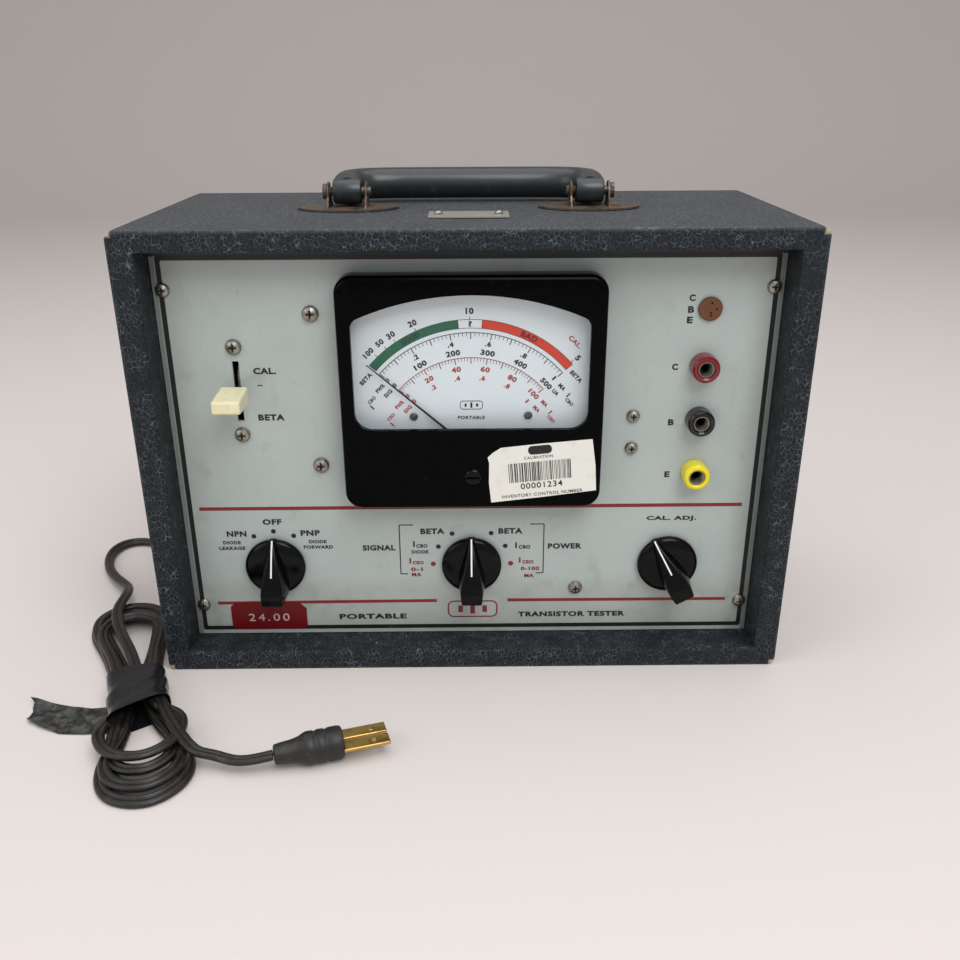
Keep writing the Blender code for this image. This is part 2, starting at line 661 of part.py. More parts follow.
def make_controls(finish):
    """Three pointer knobs on their shafts, with the switches and the potentiometer behind the panel."""
    skirt = [(0, 0.0054), (0.0095, 0.0050), (0.0128, 0.0040), (KNOB_RADIUS, 0.0026), (KNOB_RADIUS, 0.0008),
             (0, 0.0008)]
    grip = knob_grip_mesh()
    controls = [
        ("function", KNOB_X[0], 0.0, "rotary_switch_function", 0.0160),
        ("range", KNOB_X[1], 0.0, "rotary_switch_range", 0.0160),
        ("calibrate", KNOB_X[2], CAL_KNOB_REST, "potentiometer", 0.0120),
    ]
    for name, x, turn, device, radius in controls:
        at = (x, PANEL_FACE, KNOB_Z)
        facing = (math.pi / 2, turn, 0)
        knob = turned("knob_" + name, skirt, finish["bakelite"], at, facing, 28)
        ridge = add("grip_" + name, grip.copy(), None, at, facing)
        combine(knob, ridge, "UNION")
        for label, radius_cut, depth in (("recess_", 0.0066, 0.0040), ("bore_", 0.0033, 0.0112)):
            bore = rods_mesh("knob_bore", [((x, PANEL_FACE, KNOB_Z), (0, 1, 0), radius_cut, 2 * depth)], 16)
            combine(knob, add(label + name, bore), "DIFFERENCE")
        turned("shaft_" + name,
               [(0, 0.0106), (0.0026, 0.0106), (0.0030, 0.0102), (0.0030, -0.0150), (0, -0.0150)],
               finish["steel"], at, (math.pi / 2, 0, 0), 16)
        back = -PANEL_THICKNESS - GAP
        body = 0.0125
        bushing = [(0.0046, 0.0034), (0.0046, back), (radius, back), (radius, back - body),
                   (radius - 0.002, back - body - 0.0015), (0.0034, back - body - 0.0015), (0.0034, 0.0034)]
        turned(device, bushing, finish["steel"], at, (math.pi / 2, 0, 0), 24, ring=True)


def make_sockets(finish):
    """Transistor socket and the three binding jacks with their plated sleeves."""
    socket = turned("transistor_socket",
                    [(0, 0.0015), (0.0047, 0.0015), (0.00515, 0.0011), (0.00515, GAP), (0.0043, GAP),
                     (0.0043, -0.0085), (0, -0.0085)],
                    finish["socket_brown"], (SOCKET_AT[0], PANEL_FACE, SOCKET_AT[1]), steps=24)
    pins = [(SOCKET_AT[0] + dx, SOCKET_AT[1] + dz) for dx, dz in
            ((0.0004, 0.0026), (0.0026, 0.0), (0.0002, -0.0016), (0.0002, -0.0029))]
    drill(socket, pins, PANEL_FACE, 0.009, 0.00045, 8)
    for colour, z in JACKS:
        at = (JACK_X, PANEL_FACE, z)
        turned("jack_body_" + colour,
               [(0.0043, 0.0080), (0.0053, 0.0078), (0.0058, 0.0072), (0.00605, 0.0063), (0.00605, GAP),
                (0.0043, GAP), (0.0043, -0.0070), (0.0031, -0.0070), (0.0031, 0.0032), (0.0037, 0.0044),
                (0.0037, 0.0076)],
               finish["jack_" + colour], at, steps=24, ring=True)
        turned("jack_sleeve_" + colour,
               [(0.0034, 0.0069), (0.0034, 0.0047), (0.0028, 0.0036), (0.0028, -0.0140), (0.0017, -0.0140),
                (0.0017, 0.0042), (0.0031, 0.0069)],
               finish["nickel"], at, steps=20, ring=True)


# Inside


def make_insides(finish):
    """What the tester holds to work: transformer, board, capacitor and terminal strip."""
    rear = PANEL_REAR + GAP
    foot = 0.0015
    x = TRANSFORMER_SCREWS[0][0]
    z = (TRANSFORMER_SCREWS[0][1] + TRANSFORMER_SCREWS[1][1]) / 2
    core_depth = 0.036
    core = add("power_transformer", cube_mesh("core", (0.044, core_depth, 0.038), bevel=0.001, segments=1),
               finish["winding"], (x, rear + foot - 0.0004 + core_depth / 2, z))
    strap = cube_mesh("strap", (0.013, foot, 0.082), (x, rear + foot / 2, z))
    combine(core, add("transformer_strap", strap), "UNION")
    coil_middle = rear + foot + core_depth / 2 + 0.003
    coil = cube_mesh("coil", (0.026, core_depth - 0.008, 0.056), (x, coil_middle, z), 0.004, 2)
    combine(core, add("transformer_coil", coil), "UNION")
    drill(core, TRANSFORMER_SCREWS, rear, 0.006, 0.0020, 12)

    board_y = PANEL_FACE + 0.0290
    board = add("circuit_board", cube_mesh("circuit_board", (0.105, 0.0016, 0.072)), finish["board"],
                (0.0250, board_y, METER_CENTRE[1]))
    studs = [(PIVOT[0] + dx, METER_CENTRE[1] - 0.004) for dx in (-0.016, 0.016)]
    drill(board, studs, board_y, 0.006, 0.0024, 12)

    strip_x = STRIP_SCREWS[0][0]
    strip_z = (STRIP_SCREWS[0][1] + STRIP_SCREWS[1][1]) / 2
    strip = add("terminal_strip", cube_mesh("terminal_strip", (0.010, 0.0016, 0.036)), finish["board"],
                (strip_x, rear + 0.0008, strip_z))
    drill(strip, STRIP_SCREWS, rear, 0.006, 0.0020, 12)

    cx, cz = CAPACITOR_SCREW
    can_radius = 0.010
    clamp = add("filter_capacitor", cube_mesh("clamp", (0.012, foot, 0.026)), finish["aluminium"],
                (cx, rear + foot / 2, cz + 0.006))
    can_middle = (cx, rear + foot - 0.0005 + can_radius, cz + 0.0166)
    can = rods_mesh("can", [(can_middle, (1, 0, 0), can_radius, 0.042)], 24)
    combine(clamp, add("capacitor_can", can), "UNION")
    drill(clamp, [CAPACITOR_SCREW], rear, 0.006, 0.0020, 12)


# Handle and name plate


def make_handle(finish):
    """Folding carrying handle: moulded grip, pressed brackets and pins."""
    top = CASE_HEIGHT + GAP
    sheet = 0.0008
    for side, sign in (("left", -1), ("right", 1)):
        x = sign * EYE_X
        base = add("handle_bracket_" + side, flat_mesh("bracket_base", oval_outline(0.023, 0.0150), sheet),
                   finish["rusty_steel"], (x, HANDLE_PIN_Y, top + sheet / 2))
        ear_foot = top + sheet / 4
        ear_outline = [(-0.0096, 0.0), (0.0096, 0.0), (0.0066, 0.0022), (0.0052, 0.0050)]
        for i in range(7):
            angle = math.radians(160 * i / 6 + 10)
            rise = HANDLE_PIN_Z - ear_foot + 0.0042 * math.sin(angle)
            ear_outline.append((0.0046 * math.cos(angle), rise))
        ear_outline += [(-0.0052, 0.0050), (-0.0066, 0.0022)]
        for edge in (-1, 1):
            ear = add(f"ear_{side}_{edge + 2}", flat_mesh("ear", ear_outline, sheet), None,
                      (x + edge * (EYE_WIDTH / 2 + 0.0022), HANDLE_PIN_Y, ear_foot),
                      (math.pi / 2, 0, math.pi / 2))
            combine(base, ear, "UNION")
        bore = rods_mesh("ear_bore", [((x, HANDLE_PIN_Y, HANDLE_PIN_Z), (1, 0, 0), PIN_BORE, 0.03)], 16)
        combine(base, add("ear_bore_" + side, bore), "DIFFERENCE")
        turned("handle_pin_" + side,
               [(0, 0.0113), (0.0034, 0.0110), (0.0034, 0.0093), (PIN_RADIUS, 0.0093), (PIN_RADIUS, -0.0105),
                (0, -0.0105)],
               finish["rusty_steel"], (x, HANDLE_PIN_Y, HANDLE_PIN_Z), (0, sign * math.pi / 2, 0), 16)

    half = [(EYE_X, 0.000), (EYE_X + 0.0008, 0.007), (EYE_X + 0.0015, 0.0135), (EYE_X - 0.0010, 0.0205),
            (EYE_X - 0.0078, 0.0258), (EYE_X - 0.018, 0.0280), (0.020, GRIP_REACH)]
    route = [(-x, y, GRIP_RISE) for x, y in half] + [(0, GRIP_REACH, GRIP_RISE)]
    route += [(x, y, GRIP_RISE) for x, y in half[::-1]]
    curve = tube_curve("handle_grip", smooth_route(route, 0.0062), GRIP_RADIUS, 2)
    points = curve.splines[0].points
    for place, share in ((0, 0.76), (1, 0.92)):
        points[place].radius = share
        points[-1 - place].radius = share
    mesh = curve_to_mesh("handle_grip", curve)
    grip = add("handle_grip", mesh, finish["grip"], (0, HANDLE_PIN_Y, HANDLE_PIN_Z))
    eyes = []
    bores = []
    for sign in (-1, 1):
        at = (sign * EYE_X, HANDLE_PIN_Y, HANDLE_PIN_Z)
        eyes.append((at, (1, 0, 0), EYE_RADIUS, EYE_WIDTH))
        bores.append((at, (1, 0, 0), PIN_BORE, 0.04))
    combine(grip, add("grip_eyes", rods_mesh("grip_eyes", eyes, 20)), "UNION")
    combine(grip, add("grip_bores", rods_mesh("grip_bores", bores, 16)), "DIFFERENCE")


def make_rating_plate(finish):
    """Small metal plate on the lid, held by two round-head rivets."""
    thickness = 0.0005
    y = FRONT + 0.0384
    top = CASE_HEIGHT + GAP
    rivets = [(-0.0130, y), (0.0130, y)]
    plate = add("rating_plate", cube_mesh("rating_plate", (0.0345, 0.0195, thickness)), finish["aluminium"],
                (0, y, top + thickness / 2))
    rods = [((x, ry, top), (0, 0, 1), 0.0011, 0.01) for x, ry in rivets]
    combine(plate, add("plate_holes", rods_mesh("plate_holes", rods, 12)), "DIFFERENCE")
    for side, (x, ry) in zip(("left", "right"), rivets):
        turned("plate_rivet_" + side,
               [(0, 0.0013), (0.0011, 0.0011), (0.0018, 0.0005), (0.0019, 0), (0.0008, 0),
                (0.0008, -thickness - GAP), (0, -thickness - GAP)],
               finish["nickel"], (x, ry, top + thickness + GAP), (0, 0, 0), 14)


# Mains lead


def hank_edge(turn):
    """A place on the bundle's outline, in its own plane, at a turn round it in radians."""
    across = math.sin(turn) * (0.028 + 0.017 * math.cos(2 * turn))
    return Vector((-across, HANK_LENGTH / 2 * math.cos(turn), 0))


def hank_outline(count=32):
    """Long bundle, pinched in the middle, with round ends."""
    return [hank_edge(2 * math.pi * i / count).xy for i in range(count)]


def hank_port(turn, stand_off, height):
    """A place just outside the bundle's outline, square to it, at a turn round the outline in degrees."""
    spin = Matrix.Rotation(HANK_TURN, 3, "Z")
    middle = math.radians(turn)
    along = (spin @ (hank_edge(middle + 0.01) - hank_edge(middle - 0.01))).normalized()
    outward = Vector((along.y, -along.x, 0))
    place = Vector((*HANK_CENTRE, height)) + spin @ hank_edge(middle) + outward * stand_off
    return tuple(place)


def make_lead(finish):
    """Strain relief, the loose stretches of the lead, the tied hank and the plug."""
    turned("cord_strain_relief",
           [(0, RELIEF_LENGTH), (0.0036, RELIEF_LENGTH), (0.0056, 0.0050), (0.0075, 0.0030), (0.0075, GAP),
            (0.0053, GAP), (0.0053, -0.0110), (0, -0.0110)],
           finish["cord"], (RELIEF_X, BACK, RELIEF_Z), (-math.pi / 2, 0, 0), 20)

    radius = LEAD_WIDTH / 2
    floor = radius + GAP
    start = BACK + RELIEF_LENGTH + GAP
    lead_route = [
        (RELIEF_X, start, RELIEF_Z), (RELIEF_X, start + 0.010, RELIEF_Z - 0.0008),
        (-0.1010, start + 0.021, 0.0245), (-0.1050, start + 0.030, 0.0150),
        (-0.1130, start + 0.034, 0.0066), (-0.1235, start + 0.030, floor),
        (-0.1320, start + 0.018, floor), (-0.1385, start + 0.003, floor),
        (-0.1465, FRONT + 0.1460, floor), (-0.1580, FRONT + 0.1340, floor),
        (-0.1720, FRONT + 0.1275, floor), (-0.1860, FRONT + 0.1290, floor),
        (-0.1970, FRONT + 0.1335, floor), (-0.2065, FRONT + 0.1300, floor),
        (-0.2105, FRONT + 0.1190, floor), (-0.2080, FRONT + 0.1045, 0.0032),
        (-0.2000, FRONT + 0.0880, 0.0045),
        hank_port(0, 0.0130, 0.0072), hank_port(0, 0.0050, 0.0088), hank_port(0, GAP, 0.0092),
    ]
    spacing = 2.2 * LEAD_WIDTH
    add("cord_lead", tube_curve("cord_lead", smooth_route(lead_route, spacing), radius), finish["cord"])

    add("cord_hank", flat_mesh("cord_hank", hank_outline(), HANK_THICKNESS), finish["cord"],
        (*HANK_CENTRE, GAP + HANK_THICKNESS / 2), (0, 0, HANK_TURN))

    plug_x, plug_y, plug_z = PLUG_AT
    tail_route = [
        hank_port(224, 3 * GAP, 0.0080), hank_port(224, 0.0060, 0.0072), (-0.0970, FRONT - 0.0735, 0.0058),
        (-0.0890, FRONT - 0.0735, 0.0062), (plug_x - GAP, plug_y - 0.0001, plug_z),
    ]
    spacing = 2.0 * LEAD_WIDTH
    add("cord_tail", tube_curve("cord_tail", smooth_route(tail_route, spacing), radius), finish["cord"])

    length = 0.0280
    body = [(0, length), (0.0062, length), (0.0068, 0.0265), (0.0068, 0.0130), (0.0050, 0.0080), (0.0042, 0),
            (0, 0)]
    plug = turned("mains_plug", body, finish["cord"], PLUG_AT, (0, math.pi / 2, PLUG_TURN), 20)
    for sign in (-1, 1):
        blade = cube_mesh("blade", (0.0015, 0.0063, 0.0190), (0, sign * 0.0063, 0))
        obj = add(f"plug_blade_{sign + 2}", blade)
        obj.parent = plug
        obj.location = (0, 0, length + 0.0075)
        combine(plug, obj, "UNION")


def main():
    """Build every sub-part."""
    clear_scene()
    finish = make_finishes()
    make_case(finish)
    make_panel(finish)
    make_screws(finish)
    make_meter(finish)
    make_lever(finish)
    make_controls(finish)
    make_sockets(finish)
    make_insides(finish)
    make_handle(finish)
    make_rating_plate(finish)
    make_lead(finish)


main()
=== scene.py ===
"""Looks of a bench transistor tester in a covered carrying case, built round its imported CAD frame.

Every class below is one sub-assembly or one finish. Sizes are in metres, +Z is up, the control
panel faces -Y, and each piece lies where the CAD frame has it.
"""

import logging
import math
import random
from dataclasses import dataclass
from enum import Enum
from typing import Any, Iterable, Optional, Sequence, Union

import bmesh
import bpy
from mathutils import Matrix, Vector


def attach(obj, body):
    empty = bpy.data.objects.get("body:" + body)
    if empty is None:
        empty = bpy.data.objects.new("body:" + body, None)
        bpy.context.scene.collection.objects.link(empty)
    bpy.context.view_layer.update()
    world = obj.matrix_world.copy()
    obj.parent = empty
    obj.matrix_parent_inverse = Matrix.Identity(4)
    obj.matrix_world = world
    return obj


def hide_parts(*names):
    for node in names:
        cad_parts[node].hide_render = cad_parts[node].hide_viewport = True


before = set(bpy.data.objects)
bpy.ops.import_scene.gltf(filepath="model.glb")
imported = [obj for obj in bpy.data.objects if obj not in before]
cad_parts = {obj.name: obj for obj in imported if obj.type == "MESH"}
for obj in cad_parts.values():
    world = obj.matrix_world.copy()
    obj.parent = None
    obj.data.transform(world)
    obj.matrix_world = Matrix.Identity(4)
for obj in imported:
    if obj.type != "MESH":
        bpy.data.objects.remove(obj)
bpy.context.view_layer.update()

LOG = logging.getLogger("tester")

# Planes and places that several sub-assemblies share
FRONT = -0.06375
BACK = 0.07075
PANEL_FACE = -0.04675
PIVOT = (0.0005, 0.1062)
METER_CENTRE = (0.0009, 0.1322)
METER_FACE = PANEL_FACE - 0.0125
DIAL_FACE = PANEL_FACE - 0.0040
INK_DEPTH = 0.00006
CASE_HALF_WIDTH = 0.1434
HANDLE_PIN = (0.0, 0.0015, 0.2108)
KNOB_Z = 0.0466
CASE_HEIGHT = 0.2032
OVERPRINT_LIFT = 0.00001
OVERPRINT_DEPTH = 0.00008
QUARTER = math.pi / 2

Point = Sequence[float]
Number = Union[float, "Value"]


class Body(Enum):
    """The CAD bodies that pieces ride on."""

    TESTER = "tester"
    HANDLE = "handle"
    FUNCTION_KNOB = "function_knob"
    RANGE_KNOB = "range_knob"
    CALIBRATE_KNOB = "calibrate_knob"


class Side(Enum):
    """Left or right of the panel's middle."""

    LEFT = -1
    RIGHT = 1


def srgb(red: float, green: float, blue: float) -> tuple[float, float, float, float]:
    """Turn a paint-card colour, 0 to 255 a channel, into linear light.

    Args:
        red: Red channel.
        green: Green channel.
        blue: Blue channel.

    Returns:
        Linear colour with full alpha.
    """
    linear = []
    for channel in (red, green, blue):
        part = channel / 255
        linear.append(part / 12.92 if part <= 0.04045 else ((part + 0.055) / 1.055) ** 2.4)
    return (linear[0], linear[1], linear[2], 1.0)


# ------------------------------------------------------------------ shader kit


class Value:
    """A number that changes over a surface, written in sums like any other number."""

    def __init__(self, tree: bpy.types.NodeTree, socket: bpy.types.NodeSocket) -> None:
        """Wrap one output socket.

        Args:
            tree: Node tree that the socket belongs to.
            socket: Output socket that carries the number.
        """
        self.tree = tree
        self.socket = socket

    def math(self, operation: str, *others: Number, first: Optional[Number] = None) -> "Value":
        """Add one Math node.

        Args:
            operation: Name of the Math node's operation.
            others: The other numbers it takes.
            first: Number to put ahead of this one, for reflected forms.

        Returns:
            The node's result.
        """
        node = self.tree.nodes.new("ShaderNodeMath")
        node.operation = operation
        terms = [self, *others] if first is None else [first, self, *others]
        for place, term in enumerate(terms):
            if isinstance(term, Value):
                self.tree.links.new(term.socket, node.inputs[place])
            else:
                node.inputs[place].default_value = term
        return Value(self.tree, node.outputs[0])

    def __add__(self, other: Number) -> "Value":
        """Sum."""
        return self.math("ADD", other)

    __radd__ = __add__

    def __sub__(self, other: Number) -> "Value":
        """Difference."""
        return self.math("SUBTRACT", other)

    def __rsub__(self, other: Number) -> "Value":
        """Difference the other way round."""
        return self.math("SUBTRACT", first=other)

    def __mul__(self, other: Number) -> "Value":
        """Product."""
        return self.math("MULTIPLY", other)

    __rmul__ = __mul__

    def __abs__(self) -> "Value":
        """Size without sign."""
        return self.math("ABSOLUTE")

    def least(self, other: Number) -> "Value":
        """The smaller of two."""
        return self.math("MINIMUM", other)

    def most(self, other: Number) -> "Value":
        """The larger of two."""
        return self.math("MAXIMUM", other)

    def ramp(self, low: float, high: float) -> "Value":
        """Rise smoothly from 0 at low to 1 at high, or fall if low is the larger.

        Args:
            low: Value that gives 0.
            high: Value that gives 1.

        Returns:
            The smooth step.
        """
        node = self.tree.nodes.new("ShaderNodeMapRange")
        node.interpolation_type = "SMOOTHSTEP"
        turned = low > high
        self.tree.links.new(self.socket, node.inputs["Value"])
        node.inputs["From Min"].default_value = min(low, high)
        node.inputs["From Max"].default_value = max(low, high)
        node.inputs["To Min"].default_value = 1.0 if turned else 0.0
        node.inputs["To Max"].default_value = 0.0 if turned else 1.0
        return Value(self.tree, node.outputs["Result"])


class Shader:
    """The node tree of one finish round its Principled shader."""

    def __init__(self, name: str) -> None:
        """Start an empty finish.

        Args:
            name: Name of the material.
        """
        self.material = bpy.data.materials.new(name)
        self.material.use_nodes = True
        self.tree = self.material.node_tree
        self.surface = self.tree.nodes["Principled BSDF"]

    def node(
        self, kind: str, settings: Optional[dict[str, Any]] = None, **sockets: Any,
    ) -> bpy.types.Node:
        """Add any node.

        Args:
            kind: Node type without its ShaderNode prefix.
            settings: Attributes set before the sockets.
            sockets: Values, sockets or Values by socket name, with _ for a space.

        Returns:
            The node.
        """
        made = self.tree.nodes.new("ShaderNode" + kind)
        for key, setting in (settings or {}).items():
            setattr(made, key, setting)
        for key, term in sockets.items():
            self.plug(made.inputs[key.replace("_", " ")], term)
        return made

    def plug(self, socket: bpy.types.NodeSocket, term: Any) -> None:
        """Set or link one input.

        Args:
            socket: Input socket.
            term: Plain value, output socket or Value.
        """
        if isinstance(term, Value):
            self.tree.links.new(term.socket, socket)
        elif isinstance(term, bpy.types.NodeSocket):
            self.tree.links.new(term, socket)
        else:
            socket.default_value = term

    def value(self, socket: bpy.types.NodeSocket) -> Value:
        """Wrap an output so that it can be used in sums."""
        return Value(self.tree, socket)

    def place(self, scale: Point = (1, 1, 1), uv: bool = False) -> bpy.types.NodeSocket:
        """Coordinates on the piece, stretched by a Mapping node.

        Args:
            scale: Stretch of the pattern.
            uv: Follow the piece's own UV map and not its place in the object.

        Returns:
            The vector output.
        """
        source = self.node("TexCoord").outputs["UV" if uv else "Object"]
        if tuple(scale) == (1, 1, 1):
            return source
        return self.node("Mapping", Vector=source, Scale=scale).outputs["Vector"]

    def axes(self, uv: bool = False) -> tuple[Value, Value, Value]:
        """The three coordinates as Values."""
        split = self.node("SeparateXYZ", Vector=self.place(uv=uv))
        return tuple(self.value(split.outputs[axis]) for axis in "XYZ")

    def noise(self, size: float, detail: float = 3.0, rough: float = 0.55, **more: Any) -> Value:
        """Soft noise of a given feature size.

        Args:
            size: Rough size of one feature in metres.
            detail: Octaves.
            rough: Weight of the finer octaves.
            more: Further arguments of place.

        Returns:
            Noise from 0 to 1.
        """
        place = self.place(**more)
        node = self.node("TexNoise", Vector=place, Scale=1 / size, Detail=detail, Roughness=rough)
        return self.value(node.outputs["Fac"])

    def cells(self, size: float, **more: Any) -> Value:
        """Voronoi cells of a given size.

        Args:
            size: Rough size of one cell in metres.
            more: Further arguments of place.

        Returns:
            The distance from the cells' edges, in cell sizes.
        """
        edges = {"feature": "DISTANCE_TO_EDGE"}
        node = self.node("TexVoronoi", edges, Vector=self.place(**more), Scale=1 / size)
        return self.value(node.outputs["Distance"])

    def mix(self, factor: Number, first: Any, second: Any) -> bpy.types.NodeSocket:
        """Mix two colours.

        Args:
            factor: Share of the second.
            first: First colour or socket.
            second: Second colour or socket.

        Returns:
            Colour output.
        """
        node = self.tree.nodes.new("ShaderNodeMix")
        node.data_type = "RGBA"
        self.plug(node.inputs["Factor"], factor)
        self.plug(node.inputs[6], first)
        self.plug(node.inputs[7], second)
        return node.outputs[2]

    def bump(self, height: Value, depth: float, strength: float) -> bpy.types.NodeSocket:
        """Raise the surface.

        Args:
            height: Height from 0 to 1.
            depth: Depth of a full step in metres.
            strength: Share of it that shows.

        Returns:
            Normal output.
        """
        return self.node("Bump", Height=height, Distance=depth, Strength=strength).outputs["Normal"]

    def dress(self, **sockets: Any) -> bpy.types.Material:
        """Feed the Principled shader.

        Args:
            sockets: Values by socket name, with _ for a space.

        Returns:
            The material.
        """
        for key, term in sockets.items():
            self.plug(self.surface.inputs[key.replace("_", " ")], term)
        return self.material


# -------------------------------------------------------------------- finishes


@dataclass(frozen=True)
class Finish:
    """A finish that pieces are dressed in."""

    name: str

    def material(self) -> bpy.types.Material:
        """The finish's material, made once."""
        made = bpy.data.materials.get("finish_" + self.name)
        return made or self.paint(Shader("finish_" + self.name))

    def paint(self, shader: Shader) -> bpy.types.Material:
        """Build the nodes.

        Args:
            shader: Empty finish.

        Returns:
            The material.
        """
        raise NotImplementedError


@dataclass(frozen=True)
class Leathercloth(Finish):
    """Crinkle-grained cloth glued over the wooden case, rubbed through along its edges."""

    grain: float = 0.0017
    walls: tuple[float, float, float, float] = (CASE_HALF_WIDTH, FRONT, BACK, CASE_HEIGHT)

    def paint(self, shader: Shader) -> bpy.types.Material:
        """Build the nodes of the covering."""
        half, front, back, top = self.walls
        x, y, z = shader.axes()
        side = half - abs(x)
        deep = (y - front).least(back - y)
        tall = z.least(top - z)
        edge = side.most(tall).least(side.most(deep)).least(deep.most(tall))
        swirl = shader.noise(0.004, 2.0)
        broken = shader.noise(0.0032, 3.0)
        wall = shader.cells(self.grain, scale=(1.0, 1.0, 0.62)) + swirl * 0.16 - 0.08
        cross = shader.cells(self.grain * 0.62, scale=(0.7, 1.0, 1.0)) + swirl * 0.10 - 0.05
        across = cross.ramp(0.07, 0.0) * broken.ramp(0.54, 0.42) * 0.8
        ridge = (wall.ramp(0.08, 0.0) * broken.ramp(0.40, 0.56)).most(across)
        fine = shader.noise(0.0006, 3.0)
        patch = shader.noise(0.010, 3.0)
        worn = shader.noise(0.009, 4.0)
        scuff = (edge + worn * 0.0040).ramp(0.0036, 0.0016)
        bare = shader.noise(0.012, 3.0).ramp(0.56, 0.66)
        rubbed = (edge + worn * 0.0030).ramp(0.0019, 0.0010) * bare
        glint_flecks = shader.noise(0.0011, 2.0).ramp(0.67, 0.74) * shader.noise(0.011, 3.0).ramp(0.45, 0.65)
        lid = (z - (top - 0.002)).ramp(0.0, 0.002)
        colour = shader.mix(fine * 0.8, srgb(9, 15, 19), srgb(19, 27, 33))
        # painted highlight: the grain's ridges are lightened towards pale grey to stand in for glints of
        # light along them
        colour = shader.mix(ridge * (patch.ramp(0.30, 0.62) * 0.55 + 0.28), colour, srgb(104, 114, 121))
        colour = shader.mix(shader.noise(0.035, 3.0) * 0.30, colour, srgb(22, 27, 32))
        # painted light: the top face is lightened to stand in for the light it catches from above
        colour = shader.mix(lid * (shader.noise(0.03, 4.0) * 0.30 + 0.20), colour, srgb(88, 90, 94))
        # painted highlight: pale flecks on the top face stand in for glints on its grain
        grain = shader.noise(0.0016, 3.0, 0.7).ramp(0.50, 0.66)
        colour = shader.mix(lid * grain * 0.34, colour, srgb(136, 138, 140))
        colour = shader.mix(scuff * 0.30, colour, srgb(84, 96, 104))
        # painted highlight: scattered pale flecks stand in for glints of light on the grain
        colour = shader.mix(glint_flecks * 0.45, colour, srgb(118, 128, 134))
        colour = shader.mix(rubbed, colour, srgb(140, 116, 88))
        corner = (side.most(deep).most(tall) + worn * 0.002).ramp(0.0042, 0.0030)
        colour = shader.mix(corner * 0.8, colour, srgb(188, 180, 152))
        height = ridge * 0.8 + fine * 0.5
        return shader.dress(
            Base_Color=colour,
            Roughness=(0.42 + patch * 0.12 + fine * 0.12 + lid * 0.14).least(0.95),
            Specular_IOR_Level=0.28,
            Normal=shader.bump(height, 0.00030, 0.9),
        )


@dataclass(frozen=True)
class PanelEnamel(Finish):
    """Silver-grey baked enamel with handling smudges, pits and specks, and painted shadow on the strip
    outside its border line.
    """

    def paint(self, shader: Shader) -> bpy.types.Material:
        """Build the nodes of the panel paint."""
        x, _, z = shader.axes()
        cloud = shader.noise(0.045, 4.0)
        smudge = shader.noise(0.016, 5.0, 0.6).ramp(0.56, 0.78)
        speck = shader.noise(0.0016, 2.0).ramp(0.73, 0.80) * shader.noise(0.010, 3.0).ramp(0.48, 0.62)
        # darker towards the bottom and the sides, in patches
        low_side_darkening = (z - 0.030).ramp(0.012, 0.0) * 0.5 + (abs(x) - 0.128).ramp(-0.012, 0.0) * 0.35
        # painted shadow: the strip outside the border line is darkened, nearly black at the top and darker at
        # the sides, where the case wall shades it
        rim = (z - 0.1899).ramp(0.0, 0.0010) * 0.96 + (abs(x) - 0.1296).ramp(0.0, 0.0014) * 0.50
        pits = shader.noise(0.0026, 3.0, 0.7).ramp(0.60, 0.74)
        streak = shader.noise(0.006, 3.0, scale=(1.0, 1.0, 0.16)).ramp(0.62, 0.80)
        colour = shader.mix(cloud, srgb(161, 171, 168), srgb(181, 191, 188))
        colour = shader.mix(smudge * 0.42, colour, srgb(140, 143, 133))
        colour = shader.mix(pits * 0.24, colour, srgb(116, 116, 104))
        colour = shader.mix(streak * 0.18, colour, srgb(132, 134, 124))
        colour = shader.mix(low_side_darkening * shader.noise(0.008, 4.0), colour, srgb(128, 126, 112))
        colour = shader.mix(speck * 0.75, colour, srgb(70, 66, 56))
        # painted shadow on the strip outside the border line
        colour = shader.mix(rim.least(0.97), colour, srgb(22, 24, 24))
        return shader.dress(
            Base_Color=colour,
            Roughness=0.40 + cloud * 0.10 + smudge * 0.14,
            Metallic=0.12,
            Normal=shader.bump(shader.noise(0.0009, 2.0), 0.00004, 0.5),
        )


@dataclass(frozen=True)
class Moulding(Finish):
    """Moulded plastic, rubber or lacquer with dust in its low spots."""

    colour: tuple[float, float, float] = (20, 20, 22)
    dust: tuple[float, float, float] = (120, 116, 104)
    dusty: float = 0.12
    roughness: float = 0.25
    coat: float = 0.0
    grain: float = 0.0012
    relief: float = 0.00003
    gloss: float = 0.5

    def paint(self, shader: Shader) -> bpy.types.Material:
        """Build the nodes of the moulding."""
        cloud = shader.noise(0.012, 4.0)
        dust = shader.noise(0.0035, 5.0, 0.65).ramp(0.50, 0.80)
        fine = shader.noise(self.grain, 3.0)
        shade = srgb(*(0.72 * part for part in self.colour))
        colour = shader.mix(cloud * 0.5, srgb(*self.colour), shade)
        colour = shader.mix(dust * self.dusty, colour, srgb(*self.dust))
        return shader.dress(
            Base_Color=colour,
            Roughness=(self.roughness + cloud * 0.08 + dust * self.dusty).least(0.95),
            Coat_Weight=self.coat,
            Coat_Roughness=0.08,
            Specular_IOR_Level=self.gloss,
            Normal=shader.bump(fine, self.relief, 0.6),
        )


